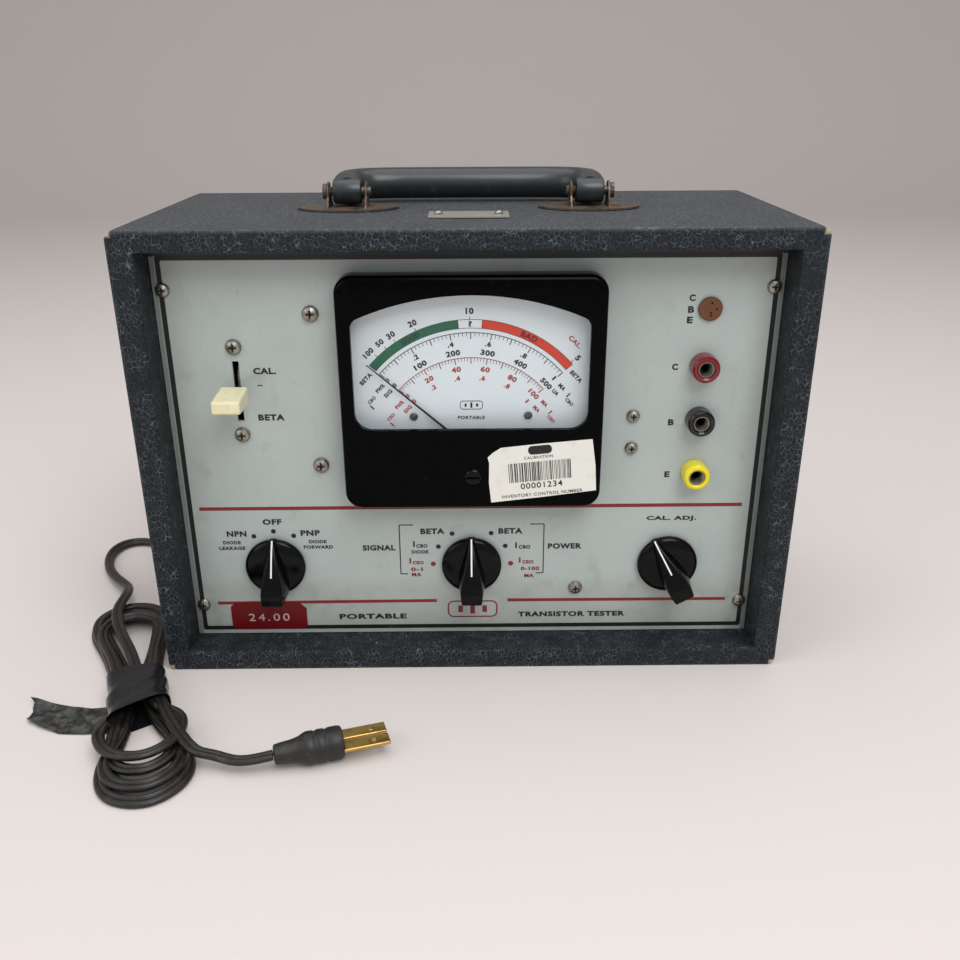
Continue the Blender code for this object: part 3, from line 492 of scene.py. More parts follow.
@dataclass(frozen=True)
class Plated(Finish):
    """Bare or plated metal with tarnish and, where it is old, rust."""

    colour: tuple[float, float, float] = (205, 203, 196)
    stain: tuple[float, float, float] = (92, 78, 60)
    tarnish: float = 0.35
    roughness: float = 0.24
    rust: float = 0.0
    brushed: float = 0.0

    def paint(self, shader: Shader) -> bpy.types.Material:
        """Build the nodes of the metal."""
        patch = shader.noise(0.0045, 5.0, 0.62)
        stain = patch.ramp(0.50, 0.72) * self.tarnish
        spots = shader.noise(0.0065, 6.0, 0.7).ramp(0.62 - 0.30 * self.rust, 0.74 - 0.22 * self.rust)
        rust = spots * min(1.0, self.rust * 1.6)
        grit = shader.noise(0.0007, 4.0, 0.7)
        strokes = shader.noise(0.0008, 2.0, scale=(0.04, 1.0, 1.0)) * self.brushed
        colour = shader.mix(stain, srgb(*self.colour), srgb(*self.stain))
        colour = shader.mix(rust, colour, shader.mix(grit, srgb(46, 30, 21), srgb(104, 70, 46)))
        return shader.dress(
            Base_Color=colour,
            Metallic=1.0 - rust * 0.9,
            Roughness=(self.roughness + stain * 0.35 + rust * 0.5 + strokes * 0.25).least(0.95),
            Normal=shader.bump(grit * (rust * 0.9 + 0.1) + strokes * 0.3, 0.00010, 0.5),
        )


@dataclass(frozen=True)
class DialEnamel(Finish):
    """Cool white enamel of the scale plate, faintly soiled towards its edges."""

    def paint(self, shader: Shader) -> bpy.types.Material:
        """Build the nodes of the dial."""
        _, _, z = shader.axes()
        cloud = shader.noise(0.02, 3.0)
        speck = shader.noise(0.0014, 2.0).ramp(0.76, 0.82)
        low = (z - 0.118).ramp(0.012, 0.0)
        colour = shader.mix(cloud * 0.5, srgb(240, 250, 254), srgb(228, 241, 247))
        colour = shader.mix(low * 0.30, colour, srgb(208, 216, 220))
        colour = shader.mix(speck * 0.35, colour, srgb(120, 118, 110))
        return shader.dress(Base_Color=colour, Roughness=0.42 + cloud * 0.06)


@dataclass(frozen=True)
class Ink(Finish):
    """Screen-printed ink, thin enough in places for wear to show."""

    colour: tuple[float, float, float] = (26, 26, 26)
    worn: tuple[float, float, float] = (96, 96, 92)
    fade: float = 0.25
    roughness: float = 0.45

    def paint(self, shader: Shader) -> bpy.types.Material:
        """Build the nodes of the ink."""
        thin = shader.noise(0.0022, 4.0, 0.65).ramp(0.55, 0.80)
        colour = shader.mix(thin * self.fade, srgb(*self.colour), srgb(*self.worn))
        return shader.dress(Base_Color=colour, Roughness=self.roughness + thin * 0.15)


@dataclass(frozen=True)
class Paper(Finish):
    """Glossy label paper with a yellowed rim and finger marks."""

    colour: tuple[float, float, float] = (226, 226, 218)

    def paint(self, shader: Shader) -> bpy.types.Material:
        """Build the nodes of the paper."""
        fibre = shader.noise(0.0009, 4.0, 0.7)
        stain = shader.noise(0.010, 5.0, 0.6).ramp(0.52, 0.76)
        colour = shader.mix(fibre * 0.4, srgb(*self.colour), srgb(212, 211, 202))
        colour = shader.mix(stain * 0.30, colour, srgb(184, 176, 152))
        return shader.dress(
            Base_Color=colour,
            Roughness=0.38 + stain * 0.2,
            Normal=shader.bump(shader.noise(0.004, 3.0), 0.00006, 0.5),
        )


@dataclass(frozen=True)
class ClearGlass(Finish):
    """Clear window glass with a light film of dust."""

    def paint(self, shader: Shader) -> bpy.types.Material:
        """Build the nodes of the window: mostly see-through, with a glossy face."""
        film = shader.noise(0.006, 5.0, 0.65).ramp(0.50, 0.85)
        clear = shader.node("BsdfTransparent")
        shader.dress(Base_Color=srgb(200, 204, 206), Roughness=0.05 + film * 0.1)
        shader.surface.inputs["Specular IOR Level"].default_value = 0.5
        layered = shader.node("Fresnel", IOR=1.45)
        share = shader.value(layered.outputs["Fac"]) * 0.45 + film * 0.012
        mixed = shader.node("MixShader", Fac=share)
        shader.tree.links.new(clear.outputs["BSDF"], mixed.inputs[1])
        shader.tree.links.new(shader.surface.outputs["BSDF"], mixed.inputs[2])
        shader.tree.links.new(mixed.outputs["Shader"], shader.tree.nodes["Material Output"].inputs["Surface"])
        return shader.material


@dataclass(frozen=True)
class Timber(Finish):
    """Plain softwood inside the case."""

    def paint(self, shader: Shader) -> bpy.types.Material:
        """Build the nodes of the wood."""
        rings = shader.noise(0.006, 4.0, 0.6, scale=(0.12, 1.0, 1.0))
        pores = shader.noise(0.0012, 3.0, 0.6, scale=(0.05, 1.0, 1.0))
        colour = shader.mix(rings, srgb(150, 112, 72), srgb(186, 148, 100))
        colour = shader.mix(pores.ramp(0.55, 0.75) * 0.4, colour, srgb(104, 72, 44))
        return shader.dress(Base_Color=colour, Roughness=0.75, Normal=shader.bump(pores, 0.0001, 0.6))


@dataclass(frozen=True)
class LeadRubber(Finish):
    """Rubber of the flat two-core lead, dusty brown on its ribs."""

    def paint(self, shader: Shader) -> bpy.types.Material:
        """Build the nodes of the lead: fine ribs run along its length."""
        across, along, _ = shader.axes(uv=True)
        ribs = (across * 150.0).math("SINE") * 0.5 + 0.5
        dirt = shader.noise(0.004, 5.0, 0.65).ramp(0.46, 0.74)
        mottle = shader.noise(0.0012, 3.0)
        wear = shader.noise(0.02, 3.0).ramp(0.40, 0.70)
        colour = shader.mix(ribs * 0.4, srgb(16, 15, 14), srgb(32, 29, 26))
        colour = shader.mix(dirt * (0.20 + wear * 0.32), colour, srgb(74, 66, 53))
        colour = shader.mix(mottle.ramp(0.62, 0.78) * 0.32, colour, srgb(96, 88, 75))
        return shader.dress(
            Base_Color=colour,
            Roughness=(0.28 + dirt * 0.25 + mottle * 0.12).least(0.9),
            Normal=shader.bump(ribs * 0.6 + mottle * 0.4, 0.00012, 0.7),
        )


@dataclass(frozen=True)
class VinylTape(Finish):
    """Black vinyl tape: glossy where it is stretched, grey with dust where it lies loose."""

    dusty: float = 0.1

    def paint(self, shader: Shader) -> bpy.types.Material:
        """Build the nodes of the tape."""
        low, high = 0.60 - 0.35 * self.dusty, 0.85 - 0.25 * self.dusty
        dust = shader.noise(0.0050, 6.0, 0.7).ramp(low, high)
        wrinkle = shader.noise(0.006, 3.0)
        colour = shader.mix(wrinkle * 0.4, srgb(15, 16, 19), srgb(30, 32, 36))
        colour = shader.mix(dust * self.dusty, colour, srgb(104, 107, 101))
        return shader.dress(
            Base_Color=colour,
            Roughness=(0.20 + dust * 0.55 * self.dusty + wrinkle * 0.12).least(0.9),
            Normal=shader.bump(wrinkle + shader.noise(0.0020, 2.0) * 0.1, 0.00018, 0.5),
        )


INK_BLACK = Ink("ink_black", (16, 16, 16), (84, 84, 80), 0.28)
INK_RED = Ink("ink_red", (122, 20, 28), (146, 84, 80), 0.30)
DIAL_BLACK = Ink("dial_black", (18, 20, 24), (56, 60, 66), 0.25)
DIAL_RED = Ink("dial_red", (176, 48, 48), (196, 110, 104), 0.25)
DIAL_MAROON = Ink("dial_maroon", (110, 44, 42), (150, 84, 80), 0.25)
DIAL_GOOD = Ink("dial_good_word", (6, 44, 34), (20, 70, 54), 0.25)
DIAL_GREEN = Ink("dial_green", (14, 104, 74), (46, 124, 96), 0.30, 0.38)
DIAL_ORANGE = Ink("dial_orange", (222, 62, 32), (226, 104, 74), 0.30, 0.38)
DIAL_BAD = Ink("dial_bad_word", (96, 18, 14), (136, 44, 36), 0.25)
# dark fill laid in the screw heads' crossed recesses
SCREW_RECESS_DARK = Ink("screw_recess_dark", (20, 17, 14), (46, 40, 34), 0.6, 0.8)
NICKEL = Plated("nickel", (158, 154, 144), (70, 60, 46), 0.55, 0.32)
BRASS = Plated("brass", (196, 160, 92), (98, 70, 34), 0.45, 0.28)
BAKELITE = Moulding("bakelite", (5, 5, 6), (110, 108, 100), 0.035, 0.13, 0.0, 0.006, 0.00001, 0.16)
COVER_BLACK = Moulding("cover_black", (3, 3, 4), (100, 98, 92), 0.015, 0.11, 0.0, 0.006, 0.00001, 0.05)
KNOB_WHITE = Ink("knob_line", (226, 226, 222), (150, 148, 140), 0.35)
BLACK_PLASTIC = Moulding("jack_black", (8, 8, 9), (96, 92, 84), 0.09, 0.13)
NEEDLE = Moulding("needle", (14, 14, 15), (50, 50, 50), 0.05, 0.5)
DIAL_SCREW = Plated("dial_screw", (96, 98, 100), (44, 42, 40), 0.6, 0.34)
RUBBER = Moulding("plug_rubber", (26, 25, 25), (108, 100, 86), 0.35, 0.45)
GRIP = Moulding("grip", (27, 37, 40), (104, 108, 104), 0.14, 0.34, 0.15, 0.0030, 0.00004)
TAPE = VinylTape("tape", 0.10)
TAPE_DUSTY = VinylTape("tape_dusty", 0.60)
PAPER = Paper("label_paper")
RED_TAPE = Moulding("embossing_tape", (104, 5, 12), (140, 50, 48), 0.12, 0.34, 0.0, 0.006, 0.00003, 0.3)
EMBOSS_WHITE = Moulding("embossed_white", (214, 180, 176), (150, 60, 56), 0.45, 0.40)

SLOT_FINISHES: dict[str, Finish] = {
    "covering": Leathercloth("covering"),
    "wood": Timber("wood"),
    "panel": PanelEnamel("panel"),
    "nickel": NICKEL,
    "bakelite": BAKELITE,
    "glass": ClearGlass("glass"),
    "dial": DialEnamel("dial"),
    "steel": Plated("steel", (150, 150, 148), (84, 74, 60), 0.4, 0.35),
    "iron": Plated("iron", (112, 112, 112), (70, 60, 50), 0.4, 0.45, 0.15),
    "ivory": Moulding("ivory", (236, 230, 190), (150, 128, 84), 0.30, 0.30, 0.15),
    "socket_brown": Moulding("socket_brown", (104, 62, 32), (70, 54, 42), 0.35, 0.42),
    "jack_red": Moulding("jack_red", (116, 14, 22), (96, 54, 50), 0.16, 0.16, 0.2),
    "jack_black": BLACK_PLASTIC,
    "jack_yellow": Moulding("jack_yellow", (238, 224, 26), (170, 146, 50), 0.20, 0.18, 0.2),
    "grip": GRIP,
    "rusty_steel": Plated("rusty_steel", (104, 98, 90), (58, 44, 32), 0.6, 0.46, 0.62),
    "aluminium": Plated("aluminium", (190, 188, 180), (110, 104, 92), 0.45, 0.34, 0.0, 0.8),
    "board": Moulding("board", (128, 92, 48), (90, 70, 50), 0.30, 0.45),
    "cord": RUBBER,
}


NODE_FINISHES: dict[str, Finish] = {
    "meter_pointer": NEEDLE,
    "scale_screw_left": DIAL_SCREW,
    "scale_screw_right": DIAL_SCREW,
}


# --------------------------------------------------------------- modelling kit


class Bench:
    """The modelling bench, where pieces are started, shaped in edit mode and finished."""

    @staticmethod
    def clear() -> None:
        """Leave edit mode and put everything down."""
        if bpy.context.object is not None and bpy.context.object.mode != "OBJECT":
            bpy.ops.object.mode_set(mode="OBJECT")
        bpy.ops.object.select_all(action="DESELECT")

    @staticmethod
    def pick(*pieces: bpy.types.Object) -> None:
        """Hold only these pieces, the last as the active one."""
        Bench.clear()
        for piece in pieces:
            piece.select_set(True)
        bpy.context.view_layer.objects.active = pieces[-1]

    @staticmethod
    def named(name: str) -> bpy.types.Object:
        """Name the piece that was just added."""
        piece = bpy.context.object
        piece.name = name
        piece.data.name = name
        return piece

    @staticmethod
    def stand(name: str, data: bpy.types.ID) -> bpy.types.Object:
        """Stand new mesh or curve data on the bench and hold it."""
        piece = bpy.data.objects.new(name, data)
        bpy.context.scene.collection.objects.link(piece)
        Bench.pick(piece)
        return piece

    @staticmethod
    def of_faces(name: str, verts: Sequence[Point], faces: Sequence[Sequence[int]]) -> bpy.types.Object:
        """Start a piece from points and faces."""
        mesh = bpy.data.meshes.new(name)
        mesh.from_pydata(verts, [], faces)
        return Bench.stand(name, mesh)

    @staticmethod
    def outward(piece: bpy.types.Object, weld: float = 0.0) -> bpy.types.Object:
        """Turn all faces outwards, once points nearer to each other than weld are one."""
        Bench.pick(piece)
        bpy.ops.object.mode_set(mode="EDIT")
        bpy.ops.mesh.select_all(action="SELECT")
        if weld > 0:
            bpy.ops.mesh.remove_doubles(threshold=weld)
        bpy.ops.mesh.normals_make_consistent(inside=False)
        bpy.ops.object.mode_set(mode="OBJECT")
        return piece

    @staticmethod
    def work(piece: bpy.types.Object, kind: str, **settings: Any) -> bpy.types.Object:
        """Put one modifier with these settings on the piece and apply it."""
        Bench.pick(piece)
        step = piece.modifiers.new("step", kind)
        for key, setting in settings.items():
            setattr(step, key, setting)
        bpy.ops.object.modifier_apply(modifier="step")
        return piece

    @staticmethod
    def turned(name: str, profile: Sequence[Point], sides: int = 48) -> bpy.types.Object:
        """Turn a profile as on a lathe, from a disc that is drawn out ring by ring along Z.

        Args:
            name: Name of the piece.
            profile: (radius, height) from one end's rim to the other's, open ends are discs.
            sides: Sides round the turning.

        Returns:
            The piece, with its axis on Z.
        """
        Bench.clear()
        radius, height = profile[0]
        bpy.ops.mesh.primitive_circle_add(
            vertices=sides, radius=radius, fill_type="NGON", location=(0, 0, height))
        piece = Bench.named(name)
        bpy.ops.object.mode_set(mode="EDIT")
        bpy.ops.mesh.select_all(action="SELECT")
        for wide, high in profile[1:]:
            bpy.ops.mesh.extrude_region_move(TRANSFORM_OT_translate={"value": (0, 0, high - height)})
            bpy.ops.transform.resize(value=(wide / radius, wide / radius, 1), center_override=(0, 0, high))
            radius, height = wide, high
        Bench.outward(piece)
        bpy.ops.object.transform_apply(location=True, rotation=True, scale=True)
        return piece

    @staticmethod
    def block(name: str, size: Point, centre: Point, round_by: float) -> bpy.types.Object:
        """A block with rounded edges.

        Args:
            name: Name of the piece.
            size: Its three sides.
            centre: Its middle.
            round_by: Radius of its edges.

        Returns:
            The piece.
        """
        Bench.clear()
        bpy.ops.mesh.primitive_cube_add(size=1, location=centre, scale=tuple(size))
        piece = Bench.named(name)
        bpy.ops.object.transform_apply(location=True, rotation=True, scale=True)
        bpy.ops.object.mode_set(mode="EDIT")
        bpy.ops.mesh.select_all(action="SELECT")
        bpy.ops.mesh.bevel(offset=round_by, segments=3, affect="EDGES")
        bpy.ops.object.mode_set(mode="OBJECT")
        return piece

    @staticmethod
    def sheet_of(name: str, outline: Sequence[Point], thickness: float) -> bpy.types.Object:
        """A flat plate with any outline, in the XZ plane, its front facing -Y.

        Args:
            name: Name of the piece.
            outline: (x, z) corners in order.
            thickness: Its thickness, from y = 0 forwards.

        Returns:
            The piece.
        """
        piece = Bench.of_faces(name, [(x, 0, z) for x, z in outline], [range(len(outline))])
        bpy.ops.object.mode_set(mode="EDIT")
        bpy.ops.mesh.select_all(action="SELECT")
        bpy.ops.mesh.extrude_region_move(TRANSFORM_OT_translate={"value": (0, -thickness, 0)})
        return Bench.outward(piece)

    @staticmethod
    def soften(
        piece: bpy.types.Object, width: float, steps: int, sharper: float = 60.0,
    ) -> bpy.types.Object:
        """Round the edges that turn more sharply than an angle in degrees."""
        angle = math.radians(sharper)
        return Bench.work(
            piece, "BEVEL", width=width, segments=steps, limit_method="ANGLE", angle_limit=angle)

    @staticmethod
    def merge(piece: bpy.types.Object, other: bpy.types.Object, operation: str) -> bpy.types.Object:
        """Join another piece to this one, or cut it away, and use the other up."""
        Bench.work(piece, "BOOLEAN", operation=operation, solver="EXACT", object=other)
        bpy.data.objects.remove(other, do_unlink=True)
        return piece

    @staticmethod
    def place(piece: bpy.types.Object, matrix: Matrix) -> bpy.types.Object:
        """Move the piece's mesh itself."""
        piece.data.transform(matrix)
        return piece

    @staticmethod
    def join(name: str, pieces: Sequence[bpy.types.Object]) -> bpy.types.Object:
        """Make one piece of several."""
        Bench.pick(*pieces)
        if len(pieces) > 1:
            bpy.ops.object.join()
        return Bench.named(name)

    @staticmethod
    def finish(
        piece: bpy.types.Object, finish: Finish, body: Body, slot: str = "", smooth: float = 35.0,
    ) -> bpy.types.Object:
        """Dress a piece and set it on its body.

        Args:
            piece: The piece, its shape complete.
            finish: What it is made of or coated in.
            body: The CAD body it rides on.
            slot: The record's material slot; not used.
            smooth: Edges sharper than this many degrees stay sharp.

        Returns:
            The piece.
        """
        Bench.pick(piece)
        bpy.ops.object.shade_smooth_by_angle(angle=math.radians(smooth))
        piece.data.materials.clear()
        piece.data.materials.append(finish.material())
        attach(piece, body.value)
        LOG.info("%s: %d faces", piece.name, len(piece.data.polygons))
        return piece


def flowing(points: Sequence[Point], count: int = 8) -> list[Vector]:
    """Points of a smooth curve that passes through every given point.

    Args:
        points: Points to pass through, each with as many numbers as wanted.
        count: Steps between two of them.

    Returns:
        The curve's points.
    """
    spots = [Vector(point) for point in points]
    ends = [2 * spots[0] - spots[1], *spots, 2 * spots[-1] - spots[-2]]
    curve = []
    for before, first, second, after in zip(ends, ends[1:], ends[2:], ends[3:]):
        for step in range(count):
            t = step / count
            pull = 2 * before - 5 * first + 4 * second - after
            twist = 3 * first - before - 3 * second + after
            curve.append(0.5 * (2 * first + (second - before) * t + pull * t ** 2 + twist * t ** 3))
    return [*curve, spots[-1]]


def polar(centre: Point, radius: float, angle: float) -> Point:
    """A place on a face.

    Args:
        centre: (x, z) that the radius starts from.
        radius: Distance from it.
        angle: Degrees from straight up, clockwise.

    Returns:
        (x, z) of the place.
    """
    a = math.radians(angle)
    return (centre[0] + radius * math.sin(a), centre[1] + radius * math.cos(a))


def circle(centre: Point, radius: float, count: int) -> list[Point]:
    """Evenly spaced points round a circle."""
    turn = [2 * math.pi * step / count for step in range(count)]
    return [(centre[0] + radius * math.cos(a), centre[1] + radius * math.sin(a)) for a in turn]


def rounded_outline(
    width: float, height: float, radius: float, steps: int, centre: Point = (0, 0),
) -> list[Point]:
    """Corners of a rectangle with round corners.

    Args:
        width: Full width.
        height: Full height.
        radius: Radius of the corners.
        steps: Steps of each corner.
        centre: Its middle.

    Returns:
        Points in order.
    """
    points = []
    for corner in range(4):
        start = corner * QUARTER
        middle_x = (width / 2 - radius) * (1 if corner in (0, 3) else -1)
        middle_z = (height / 2 - radius) * (1 if corner in (0, 1) else -1)
        for step in range(steps + 1):
            angle = start + step * QUARTER / steps
            points.append((
                centre[0] + middle_x + radius * math.cos(angle),
                centre[1] + middle_z + radius * math.sin(angle),
            ))
    return points


class Printer:
    """Prints words, lines and bands as thin ink on a flat face that looks towards -Y."""

    def __init__(self, face: float, ink_depth: float = INK_DEPTH) -> None:
        """Set the face up.

        Args:
            face: Y of the face.
            ink_depth: Thickness of the ink.
        """
        self.face = face
        self.ink_depth = ink_depth
        self.parts: list[bpy.types.Object] = []

    def word(
        self, text: str, centre: Point, width: float, height: float, turn: float = 0.0, bold: float = 0.048,
    ) -> None:
        """Print one word so that its ink fills a given width and height.

        Args:
            text: The word.
            centre: (x, z) of its middle.
            width: Width of the ink.
            height: Height of the ink.
            turn: Turn to the left in degrees.
            bold: Weight added to the strokes, in letter heights.
        """
        Bench.clear()
        bpy.ops.object.text_add(location=(0, 0, 0))
        piece = bpy.context.object
        piece.data.body = text
        piece.data.size = 1.0
        piece.data.offset = bold
        piece.data.resolution_u = 3
        piece.data.space_character = 1.12
        piece.data.extrude = 0.5
        bpy.ops.object.convert(target="MESH")
        mesh = piece.data
        low = [min(v.co[axis] for v in mesh.vertices) for axis in range(3)]
        high = [max(v.co[axis] for v in mesh.vertices) for axis in range(3)]
        middle = Vector([(a + b) / 2 for a, b in zip(low, high)])
        size = Matrix.Diagonal((width / (high[0] - low[0]), height / (high[1] - low[1]), self.ink_depth, 1))
        stand = Matrix.Rotation(math.radians(-turn), 4, "Y") @ Matrix.Rotation(QUARTER, 4, "X")
        there = Matrix.Translation((centre[0], self.face - self.ink_depth / 2, centre[1]))
        mesh.transform(there @ stand @ size @ Matrix.Translation(-middle))
        self.parts.append(piece)

    def words(self, rows: Iterable[tuple[str, float, float, float, float]]) -> None:
        """Print level words, each (text, x, z, width, height) in millimetres."""
        for text, *sizes in rows:
            x, z, wide, tall = (size / 1000 for size in sizes)
            self.word(text, (x, z), wide, tall)

    def shape(self, outline: Sequence[Point]) -> None:
        """Print a filled outline of (x, z) corners."""
        piece = Bench.sheet_of("ink", outline, self.ink_depth)
        piece.data.transform(Matrix.Translation((0, self.face, 0)))
        self.parts.append(piece)

    def bar(self, start: Point, end: Point, thickness: float) -> None:
        """Print a straight line.

        Args:
            start: (x, z) of one end.
            end: (x, z) of the other.
            thickness: Width of the line.
        """
        along = (Vector(end) - Vector(start)).normalized()
        across = Vector((-along.y, along.x)) * thickness / 2
        sides = ((start, -1), (end, -1), (end, 1), (start, 1))
        self.shape([tuple(Vector(tip) + across * side) for tip, side in sides])

    def dot(self, centre: Point, radius: float) -> None:
        """Print a round dot."""
        self.shape(circle(centre, radius, 24))

    def band(self, centre: Point, inner: float, outer: float, start: float, end: float) -> None:
        """Print part of a ring.

        Args:
            centre: (x, z) of the ring's centre.
            inner: Inner radius.
            outer: Outer radius.
            start: Degrees from straight up, clockwise, where it starts.
            end: Where it ends.
        """
        steps = max(2, int(abs(end - start) / 1.5))
        angles = [start + (end - start) * step / steps for step in range(steps + 1)]
        outline = [polar(centre, outer, angle) for angle in angles]
        self.shape(outline + [polar(centre, inner, angle) for angle in reversed(angles)])

    def ray(self, centre: Point, inner: float, outer: float, angle: float, thickness: float) -> None:
        """Print a line along a radius.

        Args:
            centre: (x, z) the radius starts from.
            inner: Radius where it starts.
            outer: Radius where it ends.
            angle: Degrees from straight up, clockwise.
            thickness: Width of the line.
        """
        self.bar(polar(centre, inner, angle), polar(centre, outer, angle), thickness)

    def frame(self, outer: Sequence[Point], inner: Sequence[Point]) -> None:
        """Print the border between two outlines with the same number of corners."""
        count = len(outer)
        for place in range(count):
            after = (place + 1) % count
            self.shape([outer[place], outer[after], inner[after], inner[place]])

    def badge(
        self, middle: Point, size: Point, radius: float, line: float, bars: Point, steps: int,
    ) -> None:
        """Print a plain badge: a rounded outline with three upright bars in it.

        Args:
            middle: (x, z) of its middle.
            size: Its width and height.
            radius: Radius of its corners.
            line: Width of its outline.
            bars: Spacing, half height of the outer bars, half height of the middle bar, thickness.
            steps: Steps of each corner.
        """
        wide, tall = size
        outer = rounded_outline(wide, tall, radius, steps, middle)
        self.frame(outer, rounded_outline(wide - 2 * line, tall - 2 * line, radius - line, steps, middle))
        pitch, short, high, thick = bars
        for offset, half in ((-pitch, short), (0.0, high), (pitch, short)):
            x = middle[0] + offset
            self.bar((x, middle[1] - half), (x, middle[1] + half), thick)

    def press(self, name: str, ink: Finish) -> None:
        """Make one piece of the tester's body of all that was printed.

        Args:
            name: Name of the piece.
            ink: Finish of the ink.
        """
        Bench.finish(Bench.join(name, self.parts), ink, Body.TESTER)


# ----------------------------------------------------------------- set and lead


@dataclass
class Studio:
    """Floor, light and camera."""

    eye: Point = (0.00124, -0.44594, 0.25683)
    pitch: float = -22.784
    yaw: float = 0.417
    roll: float = -0.274
    lens: float = 35.70
    aim: Point = (0.0, 0.0, 0.1)

    def build(self) -> None:
        """Set up the camera, the floor and the lights."""
        self.camera()
        self.floor()
        self.lamp("key", (0.34, -0.80, 1.15), 0.8, 11.5)
        self.lamp("fill", (-0.95, -0.55, 0.70), 0.8, 3.0)
        self.lamp("sky", (0.0, 0.15, 1.35), 1.3, 8.0)
        world = bpy.data.worlds.new("studio_air")
        world.use_nodes = True
        air = world.node_tree.nodes["Background"].inputs
        air["Color"].default_value = srgb(238, 236, 236)
        air["Strength"].default_value = 0.62
        bpy.context.scene.world = world
        bpy.context.scene.view_settings.view_transform = "Standard"

    def camera(self) -> None:
        """Stand the camera where the tester is seen from slightly above its front."""
        data = bpy.data.cameras.new("camera")
        data.lens, data.sensor_width, data.clip_start = self.lens, 36.0, 0.01
        eye = bpy.data.objects.new("camera", data)
        bpy.context.scene.collection.objects.link(eye)
        pitch, yaw, roll = (math.radians(angle) for angle in (self.pitch, self.yaw, self.roll))
        ahead = Vector((math.sin(yaw) * math.cos(pitch), math.cos(yaw) * math.cos(pitch), math.sin(pitch)))
        right = Vector((math.cos(yaw), -math.sin(yaw), 0))
        up = right.cross(ahead)
        right, up = (
            math.cos(roll) * right + math.sin(roll) * up,
            math.cos(roll) * up - math.sin(roll) * right,
        )
        turn = Matrix((right, up, -ahead)).transposed().to_4x4()
        eye.matrix_world = Matrix.Translation(self.eye) @ turn
        bpy.context.scene.camera = eye

    def floor(self) -> None:
        """Lay a plain pale floor that sweeps up behind as a backdrop."""
        Bench.clear()
        bpy.ops.mesh.primitive_plane_add(size=8.0, location=(0, -2.4, 0))
        floor = Bench.named("floor")
        bpy.ops.object.mode_set(mode="EDIT")
        sweep = bmesh.from_edit_mesh(floor.data)
        sweep.select_mode = {"EDGE"}
        for edge in sweep.edges:
            edge.select_set(all(vert.co.y > 3.9 for vert in edge.verts))
        sweep.select_flush_mode()
        bmesh.update_edit_mesh(floor.data)
        bends, reach, wall = 8, 0.16, 4.0
        angles = [QUARTER * (bend + 0.5) / bends for bend in range(bends)]
        for along, up in [(reach * math.cos(a), reach * math.sin(a)) for a in angles] + [(0, wall)]:
            bpy.ops.mesh.extrude_region_move(TRANSFORM_OT_translate={"value": (0, along, up)})
        bpy.ops.object.mode_set(mode="OBJECT")
        Bench.pick(floor)
        bpy.ops.object.shade_smooth()
        bpy.ops.object.transform_apply(location=True, rotation=True, scale=True)
        shader = Shader("floor")
        floor.data.materials.append(shader.dress(Base_Color=srgb(206, 199, 196), Roughness=0.85))

    def lamp(self, name: str, place: Point, size: float, power: float) -> None:
        """Hang one soft light that looks at the tester.

        Args:
            name: Its name.
            place: Where it hangs.
            size: Side of its square.
            power: Watts.
        """
        data = bpy.data.lights.new(name, "AREA")
        data.size = size
        data.energy = power
        lamp = bpy.data.objects.new(name, data)
        lamp.location = place
        lamp.rotation_euler = (Vector(self.aim) - Vector(place)).to_track_quat("-Z", "Y").to_euler()
        bpy.context.scene.collection.objects.link(lamp)


@dataclass
class Turn:
    """One turn of the tied hank: a far fold, a crossing of the waist, a near fold and the way back."""

    waist_right: float
    waist_left: float
    near: float
    near_half: float
    near_roll: float
    far: float
    far_half: float
    far_roll: float
    heights: tuple[float, float, float, float]


HANK_TURNS = (
    Turn(0.0020, -0.0083, 0.0540, 0.0176, -6, 0.0792, 0.0168, 12, (0.0104, 0.0090, 0.0056, 0.0050)),
    Turn(0.0083, -0.0028, 0.0680, 0.0160, 22, 0.0740, 0.0142, 10, (0.0052, 0.0052, 0.0052, 0.0044)),
    Turn(0.0028, -0.0083, 0.0735, 0.0182, 34, 0.0800, 0.0176, -20, (0.0024, 0.0021, 0.0021, 0.0021)),
    Turn(0.0083, -0.0028, 0.0640, 0.0138, -28, 0.0690, 0.0130, 24, (0.0021, 0.0021, 0.0021, 0.0064)),
    Turn(0.0028, -0.0070, 0.0590, 0.0134, 12, 0.0640, 0.0140, -14, (0.0056, 0.0058, 0.0086, 0.0078)),
)


